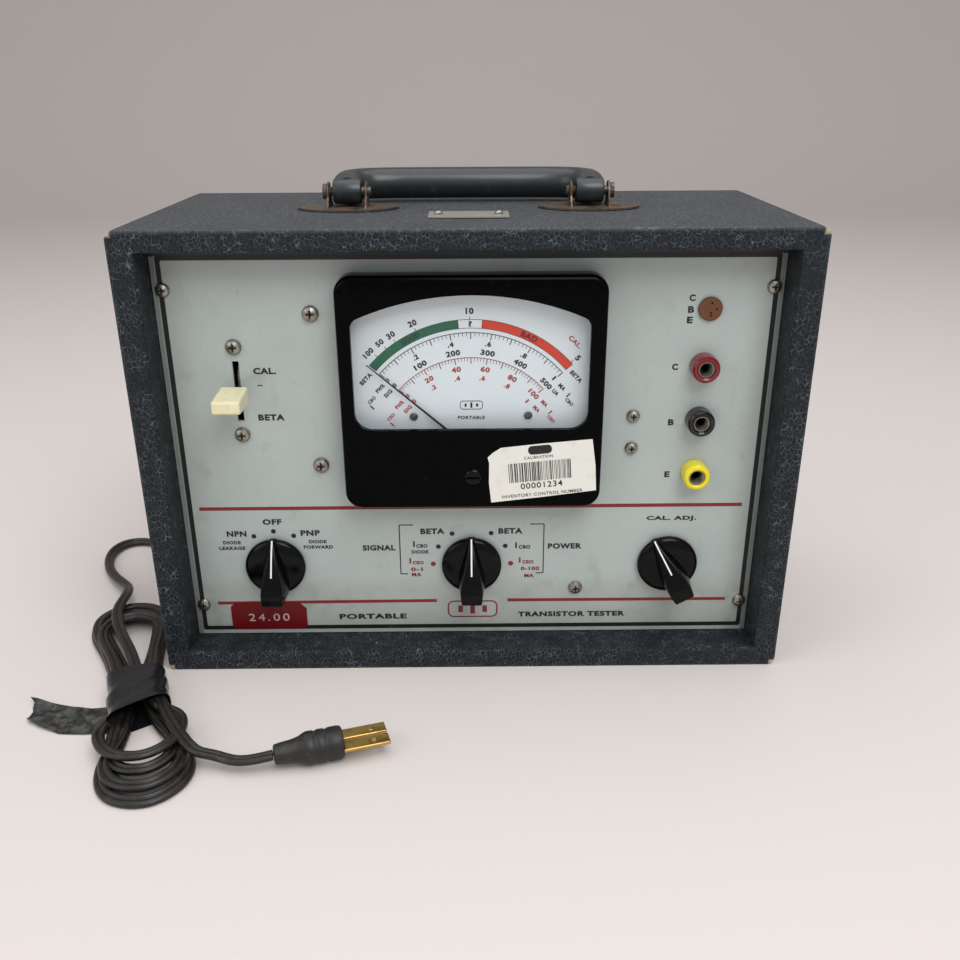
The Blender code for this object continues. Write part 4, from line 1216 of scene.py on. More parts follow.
@dataclass
class MainsLead:
    """The flat two-core lead: out of the back, round the side, wound in a tied hank, and its plug."""

    width: float = 0.0052
    thickness: float = 0.0029
    relief: Point = (-0.100, 0.09505, 0.030)
    hank_centre: Point = (-0.1505, -0.08675)
    hank_half: float = 0.083
    hank_turn: float = 20.5
    step: float = 0.0016
    plug_at: Point = (-0.0800, -0.13525, 0.0072)
    plug_turn: float = 17.0
    tape: float = 0.0003

    def port(self, turn: float, stand_off: float, height: float) -> Vector:
        """A place outside the hank's outline, square to it.

        Args:
            turn: Turn round the outline in degrees.
            stand_off: Distance outside it.
            height: Height above the floor.

        Returns:
            The place.
        """
        def at(t: float) -> Vector:
            """A place on the outline."""
            across = math.sin(t) * (0.028 + 0.017 * math.cos(2 * t))
            return self.lay((-across, self.hank_half * math.cos(t)), 0.0)

        t = math.radians(turn)
        along = (at(t + 0.01) - at(t - 0.01)).normalized()
        return at(t) + Vector((along.y, -along.x, 0)) * stand_off + Vector((0, 0, height))

    def lay(self, spot: Point, height: float) -> Vector:
        """Turn a place on the hank into a place in the object.

        Args:
            spot: (across, along) from the hank's middle.
            height: Height above the floor.

        Returns:
            The place.
        """
        turned = Matrix.Rotation(math.radians(self.hank_turn), 3, "Z") @ Vector((spot[0], spot[1], 0))
        return turned + Vector((self.hank_centre[0], self.hank_centre[1], height))

    def wound(self, turn: Turn) -> list[tuple[Vector, float]]:
        """One turn of the hank: out round its near fold, back across the waist and round its far fold.

        Args:
            turn: The turn's sizes.

        Returns:
            Pairs of place and roll.
        """
        right_z, near_z, left_z, far_z = turn.heights
        near, wide, near_roll = turn.near, turn.near_half, turn.near_roll
        far, broad, far_roll = turn.far, turn.far_half, turn.far_roll
        fold = ((0.96, 1.25), (0.78, 0.42), (0.0, 0.0), (-0.78, 0.42), (-0.96, 1.25))
        spots = [
            ((turn.waist_right, 0.0), right_z, 0),
            ((turn.waist_right * 0.55 + wide * 0.40, -0.42 * near), (right_z + near_z) / 2, near_roll / 3),
            *(((wide * out, -near + wide * back), near_z, near_roll) for out, back in fold),
            ((turn.waist_left * 0.55 - wide * 0.40, -0.42 * near), (left_z + near_z) / 2, near_roll / 3),
            ((turn.waist_left, 0.0), left_z, 0),
            ((turn.waist_left * 0.55 - broad * 0.40, 0.42 * far), (left_z + far_z) / 2, far_roll / 3),
            *(((-broad * out, far - broad * back), far_z, far_roll) for out, back in fold),
            ((broad * 0.40 + 0.004, 0.42 * far), far_z + 0.0004, far_roll / 3),
        ]
        return [(self.lay(spot, height), roll) for spot, height, roll in spots]

    def route(self) -> list[tuple[Vector, float]]:
        """Points the lead follows with its roll at each, in degrees from lying flat.

        Returns:
            Pairs of place and roll.
        """
        x, start, z = self.relief
        floor = 0.0021
        points = [
            ((x, start, z), 0), ((x, start + 0.010, z - 0.0008), 0), ((-0.1010, start + 0.021, 0.0245), 10),
            ((-0.1050, start + 0.030, 0.0150), 25), ((-0.1130, start + 0.034, 0.0066), 40),
            ((-0.1235, start + 0.030, 0.0030), 35), ((-0.1320, start + 0.018, floor + 0.0007), 30),
            ((-0.1385, start + 0.003, floor), 20), ((-0.1465, FRONT + 0.1460, floor), 10),
            ((-0.1580, FRONT + 0.1340, floor), 0), ((-0.1720, FRONT + 0.1275, floor), 0),
            ((-0.1860, FRONT + 0.1290, floor), 5), ((-0.1970, FRONT + 0.1335, floor), 15),
            ((-0.2065, FRONT + 0.1300, floor + 0.0004), 30), ((-0.2105, FRONT + 0.1190, floor + 0.0006), 30),
            ((-0.2080, FRONT + 0.1045, 0.0032), 15), ((-0.2000, FRONT + 0.0880, 0.0045), 5),
            (self.port(0, 0.0130, 0.0080), 0), (self.port(0, 0.0050, 0.0098), 0),
            (self.port(0, 0.0003, 0.0108), 0),
            (self.lay((-0.0060, 0.0640), 0.0116), 0), (self.lay((-0.0050, 0.0450), 0.0114), 0),
            (self.lay((-0.0010, 0.0240), 0.0108), 0),
        ]
        placed = [(Vector(place), roll) for place, roll in points]
        for turn in HANK_TURNS:
            placed += self.wound(turn)
        plug_x, plug_y, plug_z = self.plug_at
        placed += [
            (self.lay((0.0072, 0.0), 0.0098), 0), (self.lay((0.0100, -0.0240), 0.0102), 0),
            (self.lay((0.0145, -0.0440), 0.0096), 0),
            (self.port(224, 0.0009, 0.0080), 0), (self.port(224, 0.0060, 0.0072), 0),
            (Vector((-0.0970, FRONT - 0.0735, 0.0058)), 0), (Vector((-0.0890, FRONT - 0.0735, 0.0062)), 0),
            (Vector((plug_x - 0.0003, plug_y - 0.0001, plug_z)), 0),
        ]
        return placed

    def smooth(self, points: list[tuple[Vector, float]]) -> tuple[list[Vector], list[float]]:
        """Draw one smooth curve through the route's points, with even steps.

        Args:
            points: Pairs of place and roll.

        Returns:
            Places and rolls, evenly spaced.
        """
        places, rolls = [], []
        for i in range(len(points) - 1):
            before = points[max(i - 1, 0)]
            first, second = points[i], points[i + 1]
            after = points[min(i + 2, len(points) - 1)]
            count = max(4, int((second[0] - first[0]).length / 0.0008))
            for k in range(count):
                t = k / count
                weights = (
                    (-t + 2 * t * t - t ** 3) / 2, (2 - 5 * t * t + 3 * t ** 3) / 2,
                    (t + 4 * t * t - 3 * t ** 3) / 2, (t ** 3 - t * t) / 2,
                )
                place = Vector((0, 0, 0))
                for weight, point in zip(weights, (before, first, second, after)):
                    place += point[0] * weight
                places.append(place)
                rolls.append(first[1] + (second[1] - first[1]) * t)
        places.append(points[-1][0].copy())
        rolls.append(points[-1][1])
        for _ in range(60):
            places, rolls = self.eased(places), self.eased(rolls)
        return self.even(places, rolls)

    def eased(self, row: list[Any]) -> list[Any]:
        """Draw each inner entry halfway towards its neighbours."""
        inner = zip(row, row[1:], row[2:])
        return [row[0], *(here * 0.5 + (before + after) * 0.25 for before, here, after in inner), row[-1]]

    def even(self, places: list[Vector], rolls: list[float]) -> tuple[list[Vector], list[float]]:
        """Space points evenly along a line.

        Args:
            places: Dense places.
            rolls: Their rolls.

        Returns:
            Evenly spaced places and rolls.
        """
        travelled = [0.0]
        for a, b in zip(places, places[1:]):
            travelled.append(travelled[-1] + (b - a).length)
        count = int(travelled[-1] / self.step)
        spaced, turned = [], []
        index = 0
        for i in range(count + 1):
            want = travelled[-1] * i / count
            while index < len(travelled) - 2 and travelled[index + 1] < want:
                index += 1
            gap = travelled[index + 1] - travelled[index]
            t = 0.0 if gap == 0 else (want - travelled[index]) / gap
            spaced.append(places[index].lerp(places[index + 1], t))
            turned.append(rolls[index] + (rolls[index + 1] - rolls[index]) * t)
        return spaced, turned

    def profile(self) -> list[tuple[float, float]]:
        """Cross-section of the lead: two round cores side by side with a groove between."""
        lobe = self.thickness / 2
        middle = self.width / 2 - lobe
        meet = math.acos(-middle / lobe)
        right = [(-meet + 2 * meet * step / 10) for step in range(11)]
        points = [(middle + lobe * math.cos(a), lobe * math.sin(a)) for a in right]
        points += [(-middle - lobe * math.cos(a), -lobe * math.sin(a)) for a in right[1:-1]]
        return points

    def tube(self, places: list[Vector], rolls: list[float]) -> bpy.types.Object:
        """Sweep the cross-section along the route.

        Args:
            places: Evenly spaced places.
            rolls: Roll at each, in degrees.

        Returns:
            The lead, closed at both ends, with a UV map that runs along it.
        """
        section = self.profile()
        count = len(section)
        verts, faces, uvs = [], [], []
        for i, place in enumerate(places):
            ahead = (places[min(i + 1, len(places) - 1)] - places[max(i - 1, 0)]).normalized()
            side = ahead.cross(Vector((0, 0, 1))).normalized()
            upward = side.cross(ahead)
            roll = math.radians(rolls[i])
            wide = side * math.cos(roll) + upward * math.sin(roll)
            tall = upward * math.cos(roll) - side * math.sin(roll)
            verts += [place + wide * a + tall * b for a, b in section]
        for i in range(len(places) - 1):
            for k in range(count):
                here, after = i * count, (k + 1) % count
                faces.append((here + k, here + after, here + count + after, here + count + k))
                low, high = i * self.step, (i + 1) * self.step
                left, right = k / count, (k + 1) / count
                uvs += [(left, low), (right, low), (right, high), (left, high)]
        last = (len(places) - 1) * count
        faces.append(tuple(reversed(range(count))))
        faces.append(tuple(last + k for k in range(count)))
        uvs += [(0.0, 0.0)] * (2 * count)
        piece = Bench.of_faces("mains_lead", verts, faces)
        layer = piece.data.uv_layers.new(name="along")
        for loop, uv in zip(layer.data, uvs):
            loop.uv = uv
        return Bench.outward(piece)

    def tie(self) -> list[bpy.types.Object]:
        """Wrap the tape round the waist of the hank, with its loose end on the floor."""
        wraps = [
            ("tape_wrap_back", -0.0030, 0.0190, -6.0, 0.0124, 0.0066, 0.0),
            ("tape_wrap_front", -0.0150, 0.0150, 16.0, 0.0130, 0.0070, 0.7),
        ]
        made = []
        for name, along, wide, slant, half_x, half_z, phase in wraps:
            verts, faces = [], []
            rows, around = 10, 48
            for row in range(rows + 1):
                place = along + wide * (row / rows - 0.5)
                for k in range(around):
                    a = 2 * math.pi * k / around
                    c, s = math.cos(a), math.sin(a)
                    pinch = 1 - 0.05 * math.sin(math.pi * row / rows)
                    pinch += 0.018 * math.sin(3 * a + row * 0.8 + phase)
                    x = half_x * pinch * math.copysign(abs(c) ** 0.62, c)
                    z = half_z * pinch * math.copysign(abs(s) ** 0.62, s)
                    shift = x * math.tan(math.radians(slant)) + 0.0006 * math.sin(2 * a + phase)
                    verts.append(self.lay((x, place + shift), max(0.0004, 0.0072 + z)))
            for row in range(rows):
                for k in range(around):
                    here, after = row * around, (k + 1) % around
                    faces.append((here + k, here + after, here + around + after, here + around + k))
            made.append(self.film(name, verts, faces, TAPE))
        made.append(self.loose_end())
        return made

    def loose_end(self) -> bpy.types.Object:
        """The tape's loose end, flat on the floor with one long edge lifted and its tip torn."""
        near = [
            (-0.1560, -0.0480), (-0.1660, -0.0485), (-0.1767, -0.0480), (-0.1865, -0.0439),
            (-0.1935, -0.0395),
        ]
        far = [
            (-0.1600, -0.0290), (-0.1690, -0.0303), (-0.1770, -0.0300), (-0.1865, -0.0275),
            (-0.1967, -0.0246),
        ]
        verts, faces = [], []
        columns, rows = 24, 6
        rng = random.Random(5)
        for i in range(columns + 1):
            t = i / columns * (len(near) - 1)
            k = min(int(t), len(near) - 2)
            a = Vector(near[k]).lerp(Vector(near[k + 1]), t - k)
            b = Vector(far[k]).lerp(Vector(far[k + 1]), t - k)
            for j in range(rows + 1):
                spot = a.lerp(b, j / rows)
                if i == columns:
                    spot += Vector((rng.uniform(-0.0016, 0.0010), 0))
                lift = 0.0005 + 0.0022 * (i / columns) ** 2 * abs(2 * j / rows - 1) ** 2
                lift += 0.0003 * math.sin(i * 0.45 + j * 0.5)
                verts.append(Vector((spot.x, FRONT + spot.y, max(0.0004, lift))))
        for i in range(columns):
            for j in range(rows):
                first = i * (rows + 1) + j
                faces.append((first, first + 1, first + rows + 2, first + rows + 1))
        return self.film("tape_loose_end", verts, faces, TAPE_DUSTY)

    def film(
        self, name: str, verts: list[Vector], faces: list[tuple[int, ...]], finish: Finish,
    ) -> bpy.types.Object:
        """Make thin tape of a sheet of faces.

        Args:
            name: Name of the piece.
            verts: Its points.
            faces: Its faces.
            finish: Its finish.

        Returns:
            The piece, with the tape's thickness.
        """
        piece = Bench.outward(Bench.of_faces(name, verts, faces))
        Bench.work(piece, "SOLIDIFY", thickness=self.tape, offset=1.0)
        return Bench.finish(piece, finish, Body.TESTER, "", 60.0)

    def plug(self) -> list[bpy.types.Object]:
        """The moulded plug: a ribbed rubber body with two flat blades."""
        body = Bench.turned("plug_body", [
            (0.0030, 0.0), (0.0040, 0.0004), (0.0044, 0.0030), (0.0047, 0.0070), (0.0054, 0.0104),
            (0.0064, 0.0124), (0.0068, 0.0136), (0.0068, 0.0160), (0.0064, 0.0166), (0.0064, 0.0174),
            (0.0068, 0.0180),
            (0.0068, 0.0204), (0.0064, 0.0210), (0.0064, 0.0218), (0.0068, 0.0224), (0.0068, 0.0262),
            (0.0064, 0.0276), (0.0056, 0.0280),
        ], 40)
        Bench.finish(body, RUBBER, Body.TESTER, "cord", 40.0)
        blades = []
        for side in (-1, 1):
            blade = Bench.block("plug_blade", (0.0015, 0.0063, 0.0192), (0, 0, 0.0371), 0.0005)
            hole = Bench.turned("blade_hole", [(0.0013, -0.002), (0.0013, 0.002)], 20)
            Bench.place(hole, Matrix.Translation((0, 0, 0.0405)) @ Matrix.Rotation(QUARTER, 4, "Y"))
            Bench.merge(blade, hole, "DIFFERENCE")
            Bench.place(blade, Matrix.Translation((0, side * 0.0038, 0)))
            blades.append(blade)
        pins = Bench.join("plug_blades", blades)
        Bench.finish(pins, BRASS, Body.TESTER, "", 40.0)
        turn = Matrix.Rotation(math.radians(self.plug_turn), 4, "Z") @ Matrix.Rotation(QUARTER, 4, "Y")
        for piece in (body, pins):
            Bench.place(piece, Matrix.Translation(self.plug_at) @ turn)
        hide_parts("mains_plug")
        return [body, pins]

    def build(self) -> None:
        places, rolls = self.smooth(self.route())
        lead = self.tube(places, rolls)
        Bench.finish(lead, LeadRubber("lead_rubber"), Body.TESTER, "cord", 50.0)
        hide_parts("cord_lead", "cord_hank", "cord_tail")
        on_it = self.plug() + self.tie()
        length = sum((b - a).length for a, b in zip(places, places[1:]))
        LOG.info("lead is %.3f m long", length)


# ------------------------------------------------------------------ the tester


@dataclass
class Carried:
    """The CAD nodes that keep their own shape and take a better finish."""

    def build(self) -> None:
        """Dress each node's material slots by the record's slot names."""
        for node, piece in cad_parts.items():
            for slot in piece.material_slots:
                label = slot.material.name.split(".")[0] if slot.material else ""
                finish = NODE_FINISHES.get(node) or SLOT_FINISHES.get(label)
                if finish is None:
                    LOG.info("%s keeps %r", node, label)
                else:
                    slot.material = finish.material()


@dataclass
class CarryHandle:
    """The folding handle's grip: a round moulded bar that narrows into an eye at each end."""

    eye_x: float = 0.0546
    eye_radius: float = 0.00545
    eye_width: float = 0.0126
    radius: float = 0.0071
    rise: float = 0.0009

    def bar(self) -> bpy.types.Object:
        """Bend the round bar."""
        half = [
            (0.0, 0.0285, 1.0), (0.0200, 0.0285, 1.0), (0.0366, 0.0280, 1.0), (0.0468, 0.0258, 1.0),
            (0.0536, 0.0205, 1.0), (0.0561, 0.0135, 0.98), (0.0554, 0.0070, 0.88), (0.0546, 0.0, 0.72),
        ]
        route = [(-x, y, swell) for x, y, swell in half[:0:-1]] + half
        curve = bpy.data.curves.new("handle_bar", "CURVE")
        curve.dimensions = "3D"
        curve.bevel_depth = self.radius
        curve.bevel_resolution = 10
        curve.use_fill_caps = True
        spline = curve.splines.new("POLY")
        spots = flowing(route, 6)
        spline.points.add(len(spots) - 1)
        for point, (x, y, swell) in zip(spline.points, spots):
            point.co, point.radius = (x, y, self.rise, 1), swell
        Bench.stand("handle_bar", curve)
        bpy.ops.object.convert(target="MESH")
        return Bench.outward(bpy.context.object, 0.00001)

    def build(self) -> None:
        """Make the bar, its eyes and their bores."""
        bar = self.bar()
        lie = Matrix.Rotation(QUARTER, 4, "Y")
        half = self.eye_width / 2
        rim = 0.0009
        for side in (-1, 1):
            there = Matrix.Translation((side * self.eye_x, 0, 0)) @ lie
            eye = Bench.turned("handle_eye", [
                (self.eye_radius - rim, -half), (self.eye_radius - rim * 0.3, -half + rim * 0.3),
                (self.eye_radius, -half + rim), (self.eye_radius, half - rim),
                (self.eye_radius - rim * 0.3, half - rim * 0.3), (self.eye_radius - rim, half),
            ], 48)
            Bench.merge(bar, Bench.place(eye, there), "UNION")
            bore = Bench.turned("handle_bore", [(0.0024, -0.02), (0.0024, 0.02)], 32)
            Bench.merge(bar, Bench.place(bore, there), "DIFFERENCE")
        piece = Bench.join("handle_moulding", [bar])
        Bench.place(piece, Matrix.Translation(HANDLE_PIN))
        Bench.finish(piece, GRIP, Body.HANDLE, "grip", 40.0)
        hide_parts("handle_grip")


@dataclass
class MeterCover:
    """The meter's moulded cover, rounded all round, with its arched window."""

    width: float = 0.1131
    height: float = 0.1034
    depth: float = 0.0122
    wall: float = 0.0025
    side: float = 0.0500
    bottom: float = 0.1176
    shoulder: float = 0.1652
    top: float = 0.1760
    adjuster: Point = (0.0010, 0.0955)

    def window(self) -> list[Point]:
        """The window's outline: round lower corners, an arched top and rounded shoulders."""
        rise = self.top - self.shoulder
        arch = (self.side ** 2 + rise ** 2) / (2 * rise)
        arch_z = self.top - arch
        upper, lower = 0.0050, 0.0075
        upper_x = self.side - upper
        upper_z = arch_z + math.sqrt((arch - upper) ** 2 - upper_x ** 2)
        meet = math.degrees(math.atan2(upper_z - arch_z, upper_x))
        lower_x, lower_z = self.side - lower, self.bottom + lower
        outline: list[Point] = []
        for x, z, radius, first, last, steps in (
            (upper_x, upper_z, upper, 0, meet, 6), (0.0, arch_z, arch, meet, 180 - meet, 28),
            (-upper_x, upper_z, upper, 180 - meet, 180, 6), (-lower_x, lower_z, lower, 180, 270, 8),
            (lower_x, lower_z, lower, 270, 360, 8),
        ):
            for step in range(steps + 1):
                angle = math.radians(first + (last - first) * step / steps)
                spot = (PIVOT[0] + x + radius * math.cos(angle), z + radius * math.sin(angle))
                if not outline or math.dist(spot, outline[-1]) > 1e-6:
                    outline.append(spot)
        return outline

    def slab(self, outline: Sequence[Point], front: float, depth: float) -> bpy.types.Object:
        """A slab of an outline whose front face lies at a given Y."""
        piece = Bench.sheet_of("slab", outline, depth)
        return Bench.place(piece, Matrix.Translation((0, front + depth, 0)))

    def build(self) -> None:
        """Mould the cover, hollow it and open its window."""
        outer = rounded_outline(self.width, self.height, 0.0075, 12, METER_CENTRE)
        cover = self.slab(outer, METER_FACE, self.depth)
        Bench.soften(cover, 0.0026, 7)
        wide, tall = self.width - 2 * self.wall, self.height - 2 * self.wall
        inner = rounded_outline(wide, tall, 0.0050, 8, METER_CENTRE)
        Bench.merge(cover, self.slab(inner, METER_FACE + self.wall, 0.02), "DIFFERENCE")
        for opening in (self.window(), circle(self.adjuster, 0.004, 40)):
            Bench.merge(cover, self.slab(opening, METER_FACE - 0.005, 0.01), "DIFFERENCE")
        Bench.soften(cover, 0.0006, 3)
        piece = Bench.join("meter_cover_moulding", [cover])
        Bench.finish(piece, COVER_BLACK, Body.TESTER, "bakelite", 40.0)
        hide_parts("meter_cover")


@dataclass
class PointerKnob:
    """One pointer knob: a domed skirt, a tapering grip and the white line on its crest."""

    name: str
    x: float
    turn: float
    body: Body

    def ridge(self, name: str, rows: Sequence[tuple[float, ...]]) -> bpy.types.Object:
        """Draw a bar out along the grip from one station to the next.

        Args:
            name: Name of the piece.
            rows: (along, half width below, half width above, lower height, upper height) of each station.

        Returns:
            The piece.
        """
        Bench.clear()
        bpy.ops.mesh.primitive_plane_add(size=1, location=(0, rows[0][0], 0), rotation=(QUARTER, 0, 0))
        piece = Bench.named(name)
        bpy.ops.object.transform_apply(location=True, rotation=True, scale=True)
        bpy.ops.object.mode_set(mode="EDIT")
        bpy.ops.mesh.select_all(action="SELECT")
        for row, after in zip(rows, rows[1:]):
            bpy.ops.mesh.extrude_region_move(TRANSFORM_OT_translate={"value": (0, after[0] - row[0], 0)})
        bpy.ops.object.mode_set(mode="OBJECT")
        for vert in piece.data.vertices:
            along, low, high, base, crest = min(rows, key=lambda row: abs(row[0] - vert.co.y))
            half = high if vert.co.z > 0 else low
            vert.co = (math.copysign(half, vert.co.x), along, crest if vert.co.z > 0 else base)
        return Bench.outward(piece)

    def build(self) -> None:
        """Turn the skirt, shape the grip, bore them and lay the line."""
        stations = flowing([
            (0.0147, 0.0018, 0.0006, 0.0046), (0.0090, 0.0036, 0.0018, 0.0086), (0.0, 0.0060, 0.0038, 0.0135),
            (-0.0075, 0.0068, 0.0050, 0.0165), (-0.0133, 0.0056, 0.0046, 0.0172),
        ], 5)
        rows = [(along, low, high, 0.0012, crest) for along, low, high, crest in stations]
        grip = self.ridge("knob_grip", rows)
        Bench.soften(grip, 0.0007, 4, 30.0)
        knob = Bench.turned("knob", [
            (0.0132, 0.0008), (0.0140, 0.0012), (0.0140, 0.0024), (0.0138, 0.0031), (0.0132, 0.0037),
            (0.0120, 0.0043), (0.0100, 0.0049), (0.0070, 0.0053), (0.0035, 0.0055),
        ], 72)
        Bench.merge(knob, grip, "UNION")
        for radius, depth in ((0.0066, 0.0040), (0.0033, 0.0112)):
            bore = Bench.turned("knob_bore", [(radius, -0.002), (radius, depth)], 32)
            Bench.merge(knob, bore, "DIFFERENCE")
        facing = Matrix.Rotation(math.radians(self.turn), 4, "Y") @ Matrix.Rotation(QUARTER, 4, "X")
        there = Matrix.Translation((self.x, PANEL_FACE, KNOB_Z)) @ facing
        piece = Bench.join("knob_moulding_" + self.name, [knob])
        Bench.finish(Bench.place(piece, there), BAKELITE, self.body, "bakelite", 35.0)
        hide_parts("knob_" + self.name)
        crest = [row for row in stations if row[0] > -0.0012]
        line = self.ridge("knob_line_" + self.name, [
            (along, 0.00035, 0.00035, top - 0.0003, top + 0.00007) for along, _, _, top in crest
        ])
        Bench.finish(Bench.place(line, there), KNOB_WHITE, self.body)


@dataclass
class ScrewRecessFill:
    """A dark fill in the crossed recesses of the panel's screws."""

    def build(self) -> None:
        """Lay one small cross in each screw head."""
        heads = [
            (0.0031, [(-0.1283, 0.1764), (0.1283, 0.1764), (-0.1283, 0.0256), (0.1283, 0.0256)]),
            (0.0036, [(-0.0673, 0.1661), (-0.0673, 0.0972)]),
            (0.0035, [(-0.10125, 0.1519), (-0.10125, 0.1120)]),
            (0.0030, [(0.0721, 0.1194), (0.0721, 0.1043)]),
            (0.0033, [(0.0493, 0.0334)]),
        ]
        crosses = []
        for radius, places in heads:
            depth = PANEL_FACE - 0.0003 - radius * 0.62 * 0.50
            arm, half = radius * 0.48, radius * 0.12
            corner = [(arm, half), (half, half), (half, arm)]
            outline = []
            for quarter in range(4):
                turn = quarter * math.pi / 2
                c, s = round(math.cos(turn)), round(math.sin(turn))
                outline += [(x * c - z * s, x * s + z * c) for x, z in corner]
            for x, z in places:
                cross = Printer(depth, 0.00008)
                cross.shape([(x + a, z + b) for a, b in outline])
                crosses += cross.parts
        piece = Bench.join("screw_recess_dark", crosses)
        Bench.finish(piece, SCREW_RECESS_DARK, Body.TESTER)


@dataclass
class PanelPrint:
    """Everything printed on the control panel."""

    face: float = PANEL_FACE

    def build(self) -> None:
        """Print the border, the rules, the dots and the legends."""
        self.border()
        self.rules()
        self.legends()
        self.red_legends()

    def border(self) -> None:
        """Print the black border line round the grey field."""
        ink = Printer(self.face)
        middle = (0.0001, 0.1011)
        outer = rounded_outline(0.2604, 0.1792, 0.0010, 2, middle)
        inner = rounded_outline(0.2562, 0.1750, 0.0006, 2, middle)
        ink.frame(outer, inner)
        ink.press("panel_border_line", INK_BLACK)

    def rules(self) -> None:
        """Print the red rules."""
        ink = Printer(self.face)
        ink.bar((-0.1249, 0.0757), (0.1248, 0.0760), 0.0017)
        ink.bar((-0.1217, 0.0262), (-0.0168, 0.0266), 0.0016)
        ink.bar((0.0170, 0.0266), (0.1217, 0.0264), 0.0016)
        ink.badge((0.0003, 0.0219), (0.0240, 0.0092), 0.0030, 0.0007, (0.0058, 0.0018, 0.0027, 0.0022), 5)
        for x, z in ((-0.0181, 0.0464), (0.0184, 0.0464)):
            ink.dot((x, z), 0.0012)
        ink.press("panel_red_rules", INK_RED)

    def legends(self) -> None:
        """Print the black words, the brackets and the dots."""
        ink = Printer(self.face)
        ink.words([
            ("CAL.", -88.9, 141.1, 9.9, 2.9), ("BETA", -87.8, 119.9, 11.6, 2.9),
            ("C", 94.2, 171.8, 2.6, 2.9), ("B", 94.0, 166.8, 2.6, 2.9), ("E", 93.8, 162.3, 2.5, 2.9),
            ("C", 89.0, 141.7, 2.6, 2.9), ("B", 89.1, 116.3, 2.6, 2.9), ("E", 89.1, 91.3, 2.4, 2.9),
            ("OFF", -92.1, 68.9, 8.8, 2.9), ("NPN", -109.1, 62.9, 9.2, 2.9),
            ("DIODE", -111.7, 58.4, 8.2, 1.8), ("LEAKAGE", -111.8, 55.5, 12.2, 1.8),
            ("PNP", -74.9, 63.1, 9.0, 2.9), ("DIODE", -71.7, 58.6, 8.2, 1.8),
            ("FORWARD", -71.6, 55.8, 13.8, 1.8), ("SIGNAL", -43.3, 55.1, 15.4, 2.9),
            ("BETA", -18.1, 63.5, 11.2, 2.9),
            ("I", -26.9, 56.9, 0.8, 3.0), ("CBO", -23.2, 55.9, 5.3, 1.9), ("DIODE", -24.2, 52.8, 7.8, 1.8),
            ("BETA", 18.2, 63.4, 11.2, 2.9), ("I", 20.9, 55.9, 0.8, 3.0), ("CBO", 24.9, 55.0, 5.5, 1.9),
            ("POWER", 43.7, 55.3, 15.8, 2.9), ("CAL. ADJ.", 92.8, 69.1, 23.2, 2.7),
            ("PORTABLE", -47.8, 18.2, 32.4, 2.9), ("TRANSISTOR TESTER", 48.0, 18.7, 51.6, 2.8),
        ])
        ink.bar((-0.0926, 0.1346), (-0.0904, 0.1346), 0.0004)
        for x, z in (
            (-101.2, 61.6), (-91.9, 64.1), (-82.7, 61.7), (-9.0, 62.2), (-15.5, 55.5), (9.2, 62.3),
            (15.8, 55.6),
        ):
            ink.dot((x / 1000, z / 1000), 0.00115)
        for side, x in ((Side.LEFT, -0.0335), (Side.RIGHT, 0.0338)):
            low, high = (x, 0.0412), (x, 0.0668)
            top, foot = (x - side.value * 0.0064, high[1]), (x - side.value * 0.0034, low[1])
            for start, end in ((low, high), (high, top), (low, foot)):
                ink.bar(start, end, 0.0005)
        ink.press("panel_legends", INK_BLACK)

    def red_legends(self) -> None:
        """Print the red words."""
        ink = Printer(self.face)
        ink.words([
            ("I", -28.9, 48.1, 0.8, 2.9), ("CEO", -25.2, 47.1, 5.3, 1.8), ("0-1", -25.9, 43.6, 5.6, 2.0),
            ("MA", -26.1, 40.8, 4.6, 2.0), ("I", 22.7, 48.1, 0.8, 2.9), ("CEO", 26.5, 47.1, 5.3, 1.8),
            ("0-100", 27.6, 43.6, 8.8, 2.0), ("MA", 27.2, 39.8, 4.6, 2.0),
        ])
        ink.press("panel_red_legends", INK_RED)


